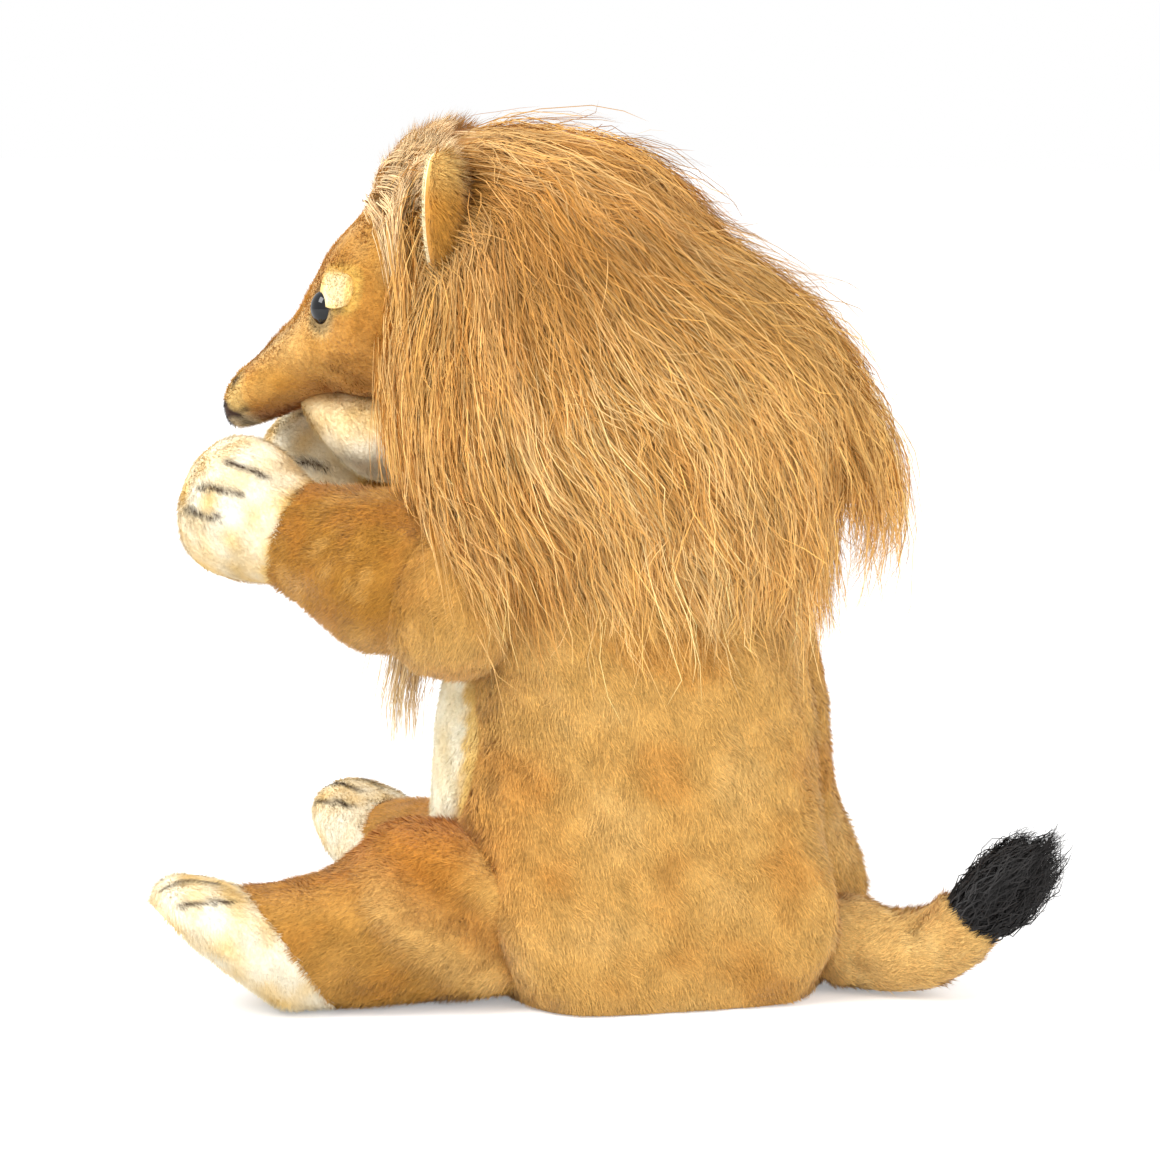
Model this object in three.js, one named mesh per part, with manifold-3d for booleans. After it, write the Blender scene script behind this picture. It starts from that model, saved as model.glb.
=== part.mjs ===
// A lion hand puppet that sits on its hind legs with both forepaws before its mouth.
// Millimetres, +Z up. The lion looks along -X and its left side is towards -Y.
// Lengths are measured from the torso's upright axis and the surface that it sits on.
import * as THREE from "three";
import { mergeVertices } from "three/addons/utils/BufferGeometryUtils.js";
import Module from "manifold-3d";

const wasm = await Module();
wasm.setup();

// Farther out than any part of the lion
const FAR = 400;

// Cloth and clearances
const PLUSH = 3;
const LINING = 1.4;
const LINING_EASE = 0.6;
const SEAM_GAP = 0.3;
const SWIVEL_GAP = 0.9;
const FLOOR_PRESS = 0.5;
const FLOOR_CLEAR = 1;

// Torso: a sleeve for the hand, open below
const TORSO_HEIGHT = 190;
const TORSO_DEPTH = 130;
const TORSO_WIDTH = 104;
const BELLY_PANEL_SETBACK = 29;
const BELLY_PANEL_LOW = 9;
const BELLY_PANEL_HIGH = 116;
const HEM_HEIGHT = 9;
const HEM_RISE = 0.5;
const HEM_CLOTH = 2;
const LINING_TOP = 92;
const HAUNCH_SWELL = 16;
const HAUNCH_SPREAD = 27;
const HAUNCH_HEIGHT = 66;

// Neck
const NECK_RADIUS = 34;
const NECK_FORWARD = 39;
const NECK_HEIGHT = 178;
const NECK_PASSAGE = 17;
const NECK_PASSAGE_FORWARD = 34;

// Head: its length runs from the back of the skull to the tip of the nose
const HEAD_LENGTH = 108;
const HEAD_WIDTH = 78;
const HEAD_HEIGHT = 78;
const HEAD_BACK = 28;
const SKULL_HEIGHT = 223;
const FINGER_BORE = 12;
const HEAD_POCKET_TOP = 236;
const HEAD_POCKET_FORWARD = 50;
const JAW_LENGTH = 52;
const JAW_WIDTH = 42;
const JAW_DEPTH = 27;
const LIP_OVERLAP = 3;
const EYE_RADIUS = 6.2;
const EYE_SHANK_RADIUS = 1.6;
const EYE_SHANK_LENGTH = 11;
const WASHER_RADIUS = 5.5;
const WASHER_THICKNESS = 1.5;
const WASHER_SETBACK = 1;
const EYE_ROOM = 1;
const EYE_FACING_DEG = 47;
const EYE_DROP = 5.5;
const LID_THICKNESS = 1.6;
const LID_REACH = 2.4;
const LID_LIFT = 1;
const NOSE_WIDTH = 15;
const NOSE_HEIGHT = 17;
const NOSE_DEPTH = 8;
const EAR_HEIGHT = 46;
const EAR_WIDTH = 30;
const EAR_THICKNESS = 17;
const EAR_WALL = 2.5;
const EAR_CUP = 7;
const EAR_LINING_CUP = 9.5;
const EAR_LEAN_DEG = 16;
const EAR_SPREAD = 38;
const EAR_RISE = 22;
const EAR_SET_BACK = 10;

// Forelegs
const SHOULDER_RADIUS = 25.5;
const SHOULDER_FORWARD = 47;
const SHOULDER_SPREAD = 42;
const SHOULDER_HEIGHT = 128;
const ARM_LENGTH = 58;
const ARM_RADIUS = 25.5;
const WRIST_RADIUS = 17;
const ARM_PITCH_DEG = 18;
const ARM_TOE_IN_DEG = 6;
const ARM_BORE = 13;
const GUSSET_EASE = 1.5;
const HAND_PASSAGE = 15;
const PAW_LENGTH = 39;
const PAW_WIDTH = 38;
const PAW_HEIGHT = 45;

// Hind legs
const HIP_RADIUS = 29;
const HIP_FORWARD = 51;
const HIP_SPREAD = 46;
const THIGH_WIDTH = 58;
const LEG_LENGTH = 94;
const LEG_SPLAY_DEG = 28;
const FOOT_HEIGHT = 43.5;

// Tail
const TAIL_ROOT_RADIUS = 15;
const TAIL_RADIUS = 12.5;
const TAIL_END_RADIUS = 11;
const TAIL_BACK = 72;
const TAIL_REACH = 46;
const TAIL_RISE = 16;
const TAIL_ASIDE = 7;
const TUFT_LENGTH = 44;
const TUFT_RADIUS = 14;

// Mane
const MANE_TOP = 277;
const MANE_LOW = 116;
const MANE_WIDTH = 146;
const MANE_DEPTH = 156;
const MANE_PARTING = 205;
const RUFF_TOP = 150;
const RUFF_LENGTH = 74;
const RUFF_WIDTH = 23;
const RUFF_DEPTH = 18;
const RUFF_FORWARD = 74;

const SIDES = { left: -1, right: 1 };
const TORSO_SIDES = 16;
const HEAD_SIDES = 14;
const MANE_SIDES = 14;
const LIMB_SIDES = 12;
const BORE_SIDES = 8;
const INNER_SIDES = 10;
const NECK_FACETS = [18, 10];
const SHOULDER_FACETS = [16, 9];
const HIP_FACETS = [14, 8];
const TAIL_FACETS = [12, 7];
const INNER_FACETS = [10, 6];
const BUTTON_FACETS = [12, 8];
const ALONG_Y = new THREE.Vector3(0, 1, 0);
const ALONG_Z = new THREE.Vector3(0, 0, 1);

const vec = (x, y, z) => new THREE.Vector3(x, y, z);
const radians = THREE.MathUtils.degToRad;

const plushGold = { color: 0xb5782f, roughness: 0.95, metalness: 0 };
const plushCream = { color: 0xf2e6bf, roughness: 0.95, metalness: 0 };
const maneStraw = { color: 0xb98b52, roughness: 0.9, metalness: 0 };
const tuftBlack = { color: 0x1b1a1c, roughness: 0.9, metalness: 0 };
const liningCloth = { color: 0xa9844f, roughness: 0.9, metalness: 0 };
const fibreWhite = { color: 0xf2f0ea, roughness: 1, metalness: 0 };
const eyeGloss = { color: 0x0d1014, roughness: 0.08, metalness: 0 };
const washerPlastic = { color: 0xe6e4dc, roughness: 0.5, metalness: 0 };
const noseBrown = { color: 0x5a3820, roughness: 0.9, metalness: 0 };

// The neck, shoulders, hips and tail turn in round seats about these points.
const neckCentre = vec(-NECK_FORWARD, 0, NECK_HEIGHT);
const shoulderCentre = (side) => vec(-SHOULDER_FORWARD, side * SHOULDER_SPREAD, SHOULDER_HEIGHT);
const hipCentre = (side) => vec(-HIP_FORWARD, side * HIP_SPREAD, HIP_RADIUS + FLOOR_CLEAR);
const tailCentre = vec(TAIL_BACK, 0, TAIL_ROOT_RADIUS + FLOOR_CLEAR);

// A geometry as a closed solid.
function solid(geometry) {
  const bare = geometry.clone();
  bare.deleteAttribute("normal");
  bare.deleteAttribute("uv");
  const merged = mergeVertices(bare, 1e-4);
  const triVerts = new Uint32Array(merged.index.array);
  const vertProperties = new Float32Array(merged.attributes.position.array);
  return new wasm.Manifold(new wasm.Mesh({ numProp: 3, vertProperties, triVerts }));
}

const middleOf = (points) =>
  points.reduce((sum, p) => sum.add(p), vec(0, 0, 0)).divideScalar(points.length);

// Rings of one point count, joined into a skin and closed by a fan at each end.
function loft(given) {
  const [first, last] = [given[0], given[given.length - 1]];
  const heading = middleOf(last).sub(middleOf(first));
  const quarter = Math.floor(first.length / 4);
  const spoke = (j) => first[j].clone().sub(middleOf(first));
  const facing = spoke(0).cross(spoke(quarter));
  const rings = facing.dot(heading) < 0 ? [...given].reverse() : given;
  const count = first.length;
  const points = rings.flat();
  const index = [];
  for (let i = 0; i + 1 < rings.length; i += 1) {
    for (let j = 0; j < count; j += 1) {
      const a = i * count + j;
      const b = i * count + ((j + 1) % count);
      index.push(a, b, b + count, a, b + count, a + count);
    }
  }
  const capEnd = (ring, start, turned) => {
    const middle = points.length;
    points.push(middleOf(ring));
    for (let j = 0; j < count; j += 1) {
      const next = start + ((j + 1) % count);
      index.push(middle, ...(turned ? [next, start + j] : [start + j, next]));
    }
  };
  capEnd(rings[0], 0, true);
  capEnd(rings[rings.length - 1], (rings.length - 1) * count, false);
  const geometry = new THREE.BufferGeometry().setFromPoints(points);
  geometry.setIndex(index);
  return solid(geometry);
}

// One ring about a centre with two half axes, rounder at 2 and squarer above it.
function ring(centre, halfU, halfV, sides, squareness = 2) {
  const bow = (value) => Math.sign(value) * Math.abs(value) ** (2 / squareness);
  return Array.from({ length: sides }, (_, j) => {
    const angle = (2 * Math.PI * j) / sides;
    return centre
      .clone()
      .addScaledVector(halfU, bow(Math.cos(angle)))
      .addScaledVector(halfV, bow(Math.sin(angle)));
  });
}

// A ball with its poles on an axis; balls and seats that turn together have alike facets.
function ball(centre, radius, facets, pole = ALONG_Z) {
  const geometry = new THREE.SphereGeometry(radius, ...facets);
  geometry.applyQuaternion(new THREE.Quaternion().setFromUnitVectors(ALONG_Y, pole));
  geometry.translate(centre.x, centre.y, centre.z);
  return solid(geometry);
}

function ellipsoid(centre, radii, facets, turn = new THREE.Matrix4()) {
  const geometry = new THREE.SphereGeometry(1, ...facets);
  geometry.scale(radii.x, radii.y, radii.z);
  geometry.applyMatrix4(turn);
  geometry.translate(centre.x, centre.y, centre.z);
  return solid(geometry);
}

// A round bar from one point to another.
function bar(from, to, radius, sides = LIMB_SIDES) {
  const along = to.clone().sub(from);
  const geometry = new THREE.CylinderGeometry(radius, radius, along.length(), sides);
  geometry.applyQuaternion(new THREE.Quaternion().setFromUnitVectors(ALONG_Y, along.normalize()));
  const middle = from.clone().add(to).multiplyScalar(0.5);
  geometry.translate(middle.x, middle.y, middle.z);
  return solid(geometry);
}

function block(low, high) {
  const size = high.clone().sub(low);
  const geometry = new THREE.BoxGeometry(size.x, size.y, size.z);
  geometry.translate((low.x + high.x) / 2, (low.y + high.y) / 2, (low.z + high.z) / 2);
  return solid(geometry);
}

const cutAll = (form, cutters) => cutters.reduce((left, cutter) => left.subtract(cutter), form);

// The largest body of a cut form, without the crumbs that a cut can leave.
const mainBody = (form) => form.decompose().sort((a, b) => b.volume() - a.volume())[0];

const aboveFloor = (form) => form.subtract(block(vec(-FAR, -FAR, -FAR), vec(FAR, FAR, 0)));

const lion = new THREE.Group();

function piece(name, form, finish) {
  const { numProp, vertProperties, triVerts } = mainBody(form).getMesh();
  const geometry = new THREE.BufferGeometry();
  const points = new THREE.InterleavedBuffer(vertProperties, numProp);
  geometry.setAttribute("position", new THREE.InterleavedBufferAttribute(points, 3, 0));
  geometry.setIndex(new THREE.BufferAttribute(triVerts, 1));
  const mesh = new THREE.Mesh(geometry, new THREE.MeshStandardMaterial(finish));
  mesh.name = name;
  lion.add(mesh);
}

// Torso stations from hem to nape: height, middle, half depth and half width, as shares.
const torsoStations = [
  [0, 0.046, 0.86, 0.885],
  [0.08, 0.03, 0.954, 0.96],
  [0.2, 0.004, 1, 1],
  [0.34, 0, 1, 1],
  [0.5, 0.006, 0.96, 0.99],
  [0.61, 0.027, 0.85, 0.97],
  [0.737, 0.012, 0.823, 0.94],
  [0.83, -0.023, 0.785, 0.865],
  [0.905, -0.092, 0.71, 0.73],
  [0.963, -0.138, 0.554, 0.54],
  [0.99, -0.16, 0.3, 0.3],
];

// How far the padded haunches push a point of the sleeve outwards: two soft lobes behind
// the hips, with the back seam as a valley between them.
function haunchSwell(point) {
  const low = (point.z / HAUNCH_HEIGHT - 0.45) / 0.42;
  const aside = (Math.abs(point.y) - HAUNCH_SPREAD) / (0.5 * HAUNCH_SPREAD);
  const behind = THREE.MathUtils.smoothstep(point.x, 0, TORSO_DEPTH / 2);
  return HAUNCH_SWELL * behind * Math.exp(-low * low - aside * aside);
}

function trunkForm(grow, below = 0) {
  const rings = torsoStations.map(([height, middle, depth, width]) =>
    ring(
      vec(middle * TORSO_DEPTH, 0, height * (TORSO_HEIGHT + grow)),
      vec((depth * TORSO_DEPTH) / 2 + grow, 0, 0),
      vec(0, (width * TORSO_WIDTH) / 2 + grow, 0),
      grow < 0 ? INNER_SIDES + 2 : TORSO_SIDES,
    ),
  );
  if (grow >= 0) rings.flat().forEach((p) => p.setX(p.x + haunchSwell(p)));
  if (below > 0) rings.unshift(rings[0].map((p) => p.clone().setZ(-below)));
  return loft(rings);
}

// Head stations from the back of the skull to the nose: place along the head, top and
// bottom above or below the skull's middle, and half width, as shares.
const headStations = [
  [0.03, 0.38, -0.42, 0.5],
  [0.1, 0.7, -0.74, 0.77],
  [0.21, 0.92, -0.9, 0.92],
  [0.35, 1, -1, 1],
  [0.47, 0.84, -0.97, 0.97],
  [0.556, 0.63, -0.95, 0.9],
  [0.64, 0.36, -0.92, 0.77],
  [0.72, 0, -0.97, 0.65],
  [0.805, -0.31, -1.07, 0.61],
  [0.89, -0.51, -1.13, 0.6],
  [0.95, -0.67, -1.12, 0.53],
  [0.99, -0.85, -1.07, 0.34],
];

const headX = (share) => -HEAD_BACK - share * HEAD_LENGTH;

function headForm(grow) {
  const rings = headStations.map(([along, top, bottom, width]) => {
    const half = HEAD_HEIGHT / 2;
    return ring(
      vec(headX(along), 0, SKULL_HEIGHT + (half * (top + bottom)) / 2),
      vec(0, (width * HEAD_WIDTH) / 2 + grow, 0),
      vec(0, 0, (half * (top - bottom)) / 2 + grow),
      grow < 0 ? INNER_SIDES : HEAD_SIDES,
      2.15,
    );
  });
  const first = rings[0].map((p) => p.clone().setX(p.x + grow));
  const last = rings[rings.length - 1].map((p) => p.clone().setX(p.x - grow));
  return loft([first, ...rings.slice(1, -1), last]);
}

// Jaw stations from the chin's tip back to the throat: place along the jaw, top and
// bottom below the lip, and half width, as shares.
const jawStations = [
  [0, -0.02, 0.1, 0.3],
  [0.12, -0.1, 0.45, 0.6],
  [0.26, -0.1, 0.75, 0.8],
  [0.42, -0.1, 0.96, 0.94],
  [0.62, -0.1, 1, 1],
  [0.82, -0.1, 0.9, 1],
  [1, -0.05, 0.6, 0.72],
];

const lipHeight = SKULL_HEIGHT - HEAD_HEIGHT / 2 + LIP_OVERLAP;
const jawFront = headX(0.76);

function jawForm(grow) {
  const rings = jawStations.map(([along, top, bottom, width]) =>
    ring(
      vec(jawFront + along * JAW_LENGTH, 0, lipHeight - ((top + bottom) / 2) * JAW_DEPTH),
      vec(0, (width * JAW_WIDTH) / 2 + grow, 0),
      vec(0, 0, ((bottom - top) / 2) * JAW_DEPTH + grow),
      LIMB_SIDES,
    ),
  );
  return loft(rings);
}

// A foreleg's own axes: along it, across it and up from it.
function armAxes(side) {
  const pitch = radians(ARM_PITCH_DEG);
  const toeIn = radians(ARM_TOE_IN_DEG);
  const along = vec(
    -Math.cos(pitch) * Math.cos(toeIn),
    -side * Math.cos(pitch) * Math.sin(toeIn),
    Math.sin(pitch),
  );
  const across = along.clone().cross(ALONG_Z).normalize();
  return { along, across, up: across.clone().cross(along).normalize() };
}

function armRings(side, stations, grow, sides = grow < 0 ? INNER_SIDES : LIMB_SIDES) {
  const { along, across, up } = armAxes(side);
  return stations.map(([distance, halfWidth, halfHeight, lift = 0]) =>
    ring(
      shoulderCentre(side).addScaledVector(along, distance).addScaledVector(up, lift),
      across.clone().multiplyScalar(halfWidth + grow),
      up.clone().multiplyScalar(halfHeight + grow),
      sides,
    ),
  );
}

// The sleeve of a foreleg swells over the elbow and narrows to the wrist.
function armForm(side, grow, end = ARM_LENGTH) {
  const swell = (share) => WRIST_RADIUS + (ARM_RADIUS - WRIST_RADIUS) * share;
  const stations = [
    [0, ARM_RADIUS * 0.7],
    [ARM_LENGTH * 0.12, ARM_RADIUS * 0.8],
    [ARM_LENGTH * 0.24, ARM_RADIUS * 0.92],
    [ARM_LENGTH * 0.37, ARM_RADIUS],
    [ARM_LENGTH * 0.51, swell(0.96)],
    [ARM_LENGTH * 0.68, swell(0.6)],
    [ARM_LENGTH * 0.85, swell(0.24)],
    [end, WRIST_RADIUS],
  ];
  return loft(armRings(side, stations.map(([s, r]) => [s, 0.96 * r, r]), grow));
}

function pawForm(side, grow) {
  const wide = PAW_WIDTH / 2;
  const tall = PAW_HEIGHT / 2;
  const start = ARM_LENGTH + SEAM_GAP;
  const stations = [
    [start, WRIST_RADIUS * 0.96, WRIST_RADIUS, 0],
    [start + PAW_LENGTH * 0.14, wide * 0.93, tall * 0.84, 0.3],
    [start + PAW_LENGTH * 0.36, wide, tall * 0.97, 0.8],
    [start + PAW_LENGTH * 0.6, wide, tall, 1],
    [start + PAW_LENGTH * 0.8, wide * 0.86, tall * 0.86, 1],
    [start + PAW_LENGTH * 0.94, wide * 0.56, tall * 0.55, 1],
    [start + PAW_LENGTH, wide * 0.2, tall * 0.2, 1],
  ];
  return loft(armRings(side, stations, grow));
}

// The hand's fingers reach into a foreleg through a tapering bore.
function armBore(side, grow) {
  const stations = [
    [0, ARM_BORE, ARM_BORE],
    [ARM_RADIUS, ARM_BORE, ARM_BORE],
    [ARM_LENGTH * 0.8, ARM_BORE * 0.72, ARM_BORE * 0.72],
    [ARM_LENGTH * 0.9 + grow, ARM_BORE * 0.4, ARM_BORE * 0.4],
  ];
  return loft(armRings(side, stations, grow, BORE_SIDES));
}

// Hind leg stations from the hip: lower and upper point of each ring as distance along
// the leg and height, then half width. The rings lean with the seam of the paw.
const legAlong = (side) => {
  const splay = radians(LEG_SPLAY_DEG);
  return vec(-Math.cos(splay), side * Math.sin(splay), 0);
};

function legRings(side, stations, grow) {
  const along = legAlong(side);
  const across = ALONG_Z.clone().cross(along);
  return stations.map(([lowS, lowZ, highS, highZ, width]) => {
    const low = hipCentre(side).setZ(lowZ).addScaledVector(along, lowS);
    const high = hipCentre(side).setZ(highZ).addScaledVector(along, highS);
    const half = high.clone().sub(low).multiplyScalar(0.5);
    half.setLength(half.length() + grow);
    const middle = low.clone().add(high).multiplyScalar(0.5);
    const wide = across.clone().multiplyScalar((width * THIGH_WIDTH) / 2 + grow);
    return ring(middle, wide, half, grow < 0 ? INNER_SIDES : LIMB_SIDES);
  });
}

const thighHeight = 2 * HIP_RADIUS + FLOOR_CLEAR;
const pawSeam = [0.383 * LEG_LENGTH, -FLOOR_PRESS, 0.68 * LEG_LENGTH, 0.885 * FOOT_HEIGHT, 0.71];

const thighStations = [
  [-0.23 * LEG_LENGTH, 0.31 * thighHeight, -0.23 * LEG_LENGTH, 0.71 * thighHeight, 0.5],
  [-0.13 * LEG_LENGTH, 0.08 * thighHeight, -0.13 * LEG_LENGTH, 0.93 * thighHeight, 0.84],
  [0, 0.02 * thighHeight, 0, thighHeight, 0.97],
  [0.15 * LEG_LENGTH, 0.02 * thighHeight, 0.17 * LEG_LENGTH, 0.955 * thighHeight, 0.95],
  [0.255 * LEG_LENGTH, -FLOOR_PRESS, 0.36 * LEG_LENGTH, 0.77 * thighHeight, 0.86],
  [0.35 * LEG_LENGTH, -FLOOR_PRESS, 0.53 * LEG_LENGTH, 0.92 * FOOT_HEIGHT, 0.76],
  pawSeam,
];

const footStations = [
  pawSeam,
  [0.468 * LEG_LENGTH, -FLOOR_PRESS, 0.787 * LEG_LENGTH, 0.965 * FOOT_HEIGHT, 0.75],
  [0.553 * LEG_LENGTH, 0.02 * FOOT_HEIGHT, 0.894 * LEG_LENGTH, FOOT_HEIGHT, 0.75],
  [0.7 * LEG_LENGTH, 0.25 * FOOT_HEIGHT, 0.968 * LEG_LENGTH, 0.94 * FOOT_HEIGHT, 0.67],
  [0.87 * LEG_LENGTH, 0.55 * FOOT_HEIGHT, LEG_LENGTH, 0.83 * FOOT_HEIGHT, 0.41],
];

const thighForm = (side, grow) => loft(legRings(side, thighStations, grow));

function footForm(side, grow) {
  const shifted = footStations.map((s) => [s[0] + SEAM_GAP, s[1], s[2] + SEAM_GAP, s[3], s[4]]);
  return loft(legRings(side, shifted, grow));
}

// The tail's middle line lies on the floor behind the rump and lifts at its end, a little
// to one side.
const tailLine = new THREE.QuadraticBezierCurve3(
  tailCentre,
  vec(TAIL_BACK + TAIL_REACH * 0.62, -TAIL_ASIDE / 2, 0.76 * TAIL_RADIUS),
  vec(TAIL_BACK + TAIL_REACH, -TAIL_ASIDE, TAIL_RADIUS + TAIL_RISE),
);

function taperAlong(curve, radiusAt, steps) {
  const rings = Array.from({ length: steps + 1 }, (_, i) => {
    const t = i / steps;
    const across = curve.getTangent(t).cross(ALONG_Y).normalize();
    const side = curve.getTangent(t).cross(across).normalize();
    const radius = radiusAt(t);
    across.multiplyScalar(radius);
    return ring(curve.getPoint(t), across, side.multiplyScalar(radius), LIMB_SIDES);
  });
  return loft(rings);
}

function tailForm(grow) {
  const girth = (t) =>
    t < 0.5
      ? THREE.MathUtils.lerp(0.9 * TAIL_ROOT_RADIUS, TAIL_RADIUS, 2 * t)
      : THREE.MathUtils.lerp(TAIL_RADIUS, TAIL_END_RADIUS, 2 * t - 1);
  return taperAlong(tailLine, (t) => girth(t) + grow, 7);
}

// Mane stations from its lower ends to the crown: height, front and back of the torso's
// axis, and half width, as shares of its length, depth and width.
const maneStations = [
  [0, -0.35, 0.45, 0.82],
  [0.15, -0.385, 0.54, 0.93],
  [0.304, -0.436, 0.55, 1],
  [0.44, -0.474, 0.494, 0.986],
  [0.54, -0.5, 0.423, 0.93],
  [0.646, -0.5, 0.32, 0.85],
  [0.745, -0.526, 0.218, 0.78],
  [0.845, -0.55, 0.128, 0.66],
  [0.925, -0.513, 0.026, 0.49],
  [0.975, -0.423, -0.109, 0.27],
  [1, -0.3, -0.2, 0.1],
];

function maneForm() {
  const length = MANE_TOP - MANE_LOW;
  const rings = maneStations.map(([height, front, back, width]) =>
    ring(
      vec(((front + back) / 2) * MANE_DEPTH, 0, MANE_LOW + height * length),
      vec(((back - front) / 2) * MANE_DEPTH, 0, 0),
      vec(0, (width * MANE_WIDTH) / 2, 0),
      MANE_SIDES,
      2.6,
    ),
  );
  return loft(rings);
}

// The chest ruff is a lock of mane that hangs from the throat before the belly.
const ruffStations = [
  [0, 0.6, 0.9],
  [0.25, 0.9, 1],
  [0.5, 1, 1],
  [0.78, 0.85, 0.85],
  [1, 0.35, 0.4],
];

function ruffForm(grow) {
  const rings = ruffStations.map(([drop, deep, wide]) =>
    ring(
      vec(-RUFF_FORWARD + 0.35 * RUFF_DEPTH * (1 - drop), 0, RUFF_TOP - drop * RUFF_LENGTH),
      vec((deep * RUFF_DEPTH) / 2 + grow, 0, 0),
      vec(0, (wide * RUFF_WIDTH) / 2 + grow, 0),
      LIMB_SIDES,
    ),
  );
  return loft(rings);
}

// An ear is a cupped leaf that opens towards the face and leans outwards.
const earCentre = (side) =>
  vec(-HEAD_BACK - 0.35 * HEAD_LENGTH + EAR_SET_BACK, side * EAR_SPREAD, SKULL_HEIGHT + EAR_RISE);
const earLean = (side) => new THREE.Matrix4().makeRotationX(-side * radians(EAR_LEAN_DEG));

function earLeaf(side, grow, forward = 0) {
  const radii = vec(EAR_THICKNESS / 2 + grow, EAR_WIDTH / 2 + grow, EAR_HEIGHT / 2 + grow);
  return ellipsoid(earCentre(side).add(vec(-forward, 0, 0)), radii, BUTTON_FACETS, earLean(side));
}

const earForm = (side) => earLeaf(side, 0).subtract(earLeaf(side, -EAR_WALL, EAR_CUP));

function earLiningForm(side) {
  const cup = earLeaf(side, -EAR_WALL - SEAM_GAP, EAR_CUP);
  const hollow = earLeaf(side, -EAR_WALL - SEAM_GAP - LINING, EAR_LINING_CUP);
  return cup.subtract(hollow).intersect(earLeaf(side, -SEAM_GAP));
}

// An eye looks out and forward from the side of the head.
function eyeAxis(side) {
  const turn = radians(EYE_FACING_DEG);
  return vec(-Math.sin(turn), side * Math.cos(turn), 0);
}
const eyeCentre = (side) =>
  vec(headX(0.625), side * HEAD_WIDTH * 0.355, SKULL_HEIGHT - EYE_DROP);
const eyePoint = (side, inwards) => eyeCentre(side).addScaledVector(eyeAxis(side), -inwards);
const eyeBall = (side, grow) => {
  const radius = EYE_RADIUS + grow;
  return ellipsoid(eyeCentre(side), vec(radius, radius, radius), BUTTON_FACETS);
};

function eyeForm(side, grow) {
  const shankEnd = eyePoint(side, EYE_SHANK_LENGTH + grow);
  const shank = bar(shankEnd, eyeCentre(side), EYE_SHANK_RADIUS + grow, BORE_SIDES);
  return eyeBall(side, grow).add(shank);
}

// The washer locks the shank behind the cloth.
function washerForm(side) {
  const near = EYE_RADIUS + WASHER_SETBACK;
  const washer = bar(eyePoint(side, near + WASHER_THICKNESS), eyePoint(side, near), WASHER_RADIUS);
  const hole = bar(
    eyePoint(side, 2 * EYE_SHANK_LENGTH),
    eyeCentre(side),
    EYE_SHANK_RADIUS + SEAM_GAP,
    BORE_SIDES,
  );
  return washer.subtract(hole);
}

// The stuffing stands back from the eye, its shank and its washer.
function eyeRoom(side) {
  const [inner, outer] = [EYE_SHANK_LENGTH + SEAM_GAP, -EYE_RADIUS];
  return bar(eyePoint(side, inner), eyePoint(side, outer), EYE_RADIUS + EYE_ROOM, BORE_SIDES);
}

// The lid is a strip of cloth that curves over the upper half of the eye.
function lidForm(side) {
  const strip = eyeBall(side, LID_REACH).subtract(eyeBall(side, LID_REACH - LID_THICKNESS));
  return strip.intersect(block(vec(-FAR, -FAR, eyeCentre(side).z + LID_LIFT), vec(FAR, FAR, FAR)));
}

const noseForm = (grow) =>
  ellipsoid(
    vec(headX(0.975), 0, SKULL_HEIGHT - HEAD_HEIGHT * 0.455),
    vec(NOSE_DEPTH / 2 + grow, NOSE_WIDTH / 2 + grow, NOSE_HEIGHT / 2 + grow),
    TAIL_FACETS,
  );

// The four kinds of round seat, each grown or shrunk from its own ball.
const neckBall = (grow) => ball(neckCentre, NECK_RADIUS + grow, grow < 0 ? INNER_FACETS : NECK_FACETS);
const shoulderBall = (side, grow) =>
  ball(shoulderCentre(side), SHOULDER_RADIUS + grow, grow < 0 ? INNER_FACETS : SHOULDER_FACETS);
const swingAxis = (side) => ALONG_Z.clone().cross(legAlong(side));
const hipBall = (side, grow) =>
  ball(hipCentre(side), HIP_RADIUS + grow, grow < 0 ? INNER_FACETS : HIP_FACETS, swingAxis(side));
const tailBall = (grow) => ball(tailCentre, TAIL_ROOT_RADIUS + grow, TAIL_FACETS);

const neckSeat = neckBall(SWIVEL_GAP);
const shoulderSeat = (side) => shoulderBall(side, SWIVEL_GAP);
const hipSeat = (side) => hipBall(side, SWIVEL_GAP);
const tailSeat = tailBall(SWIVEL_GAP);
const seats = [neckSeat, tailSeat, ...Object.values(SIDES).flatMap((s) => [shoulderSeat(s), hipSeat(s)])];

// The passages by which fingers leave the hand space.
const headPassage = bar(
  vec(-NECK_PASSAGE_FORWARD, 0, NECK_HEIGHT - 1.4 * NECK_RADIUS),
  vec(-NECK_PASSAGE_FORWARD, 0, NECK_HEIGHT + 1.1 * NECK_RADIUS),
  NECK_PASSAGE,
);
const handPassage = (side) => {
  const inwards = vec(0.9, -side, -0.5).multiplyScalar(SHOULDER_RADIUS);
  return bar(shoulderCentre(side), shoulderCentre(side).add(inwards), HAND_PASSAGE);
};
const passages = [headPassage, handPassage(-1), handPassage(1)];

// One side of the lion, up to the seam along the back and the throat.
function halfSpace(side) {
  const [near, far] = [(side * SEAM_GAP) / 2, side * FAR];
  return block(vec(-FAR, Math.min(near, far), -FAR), vec(FAR, Math.max(near, far), FAR));
}

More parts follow.
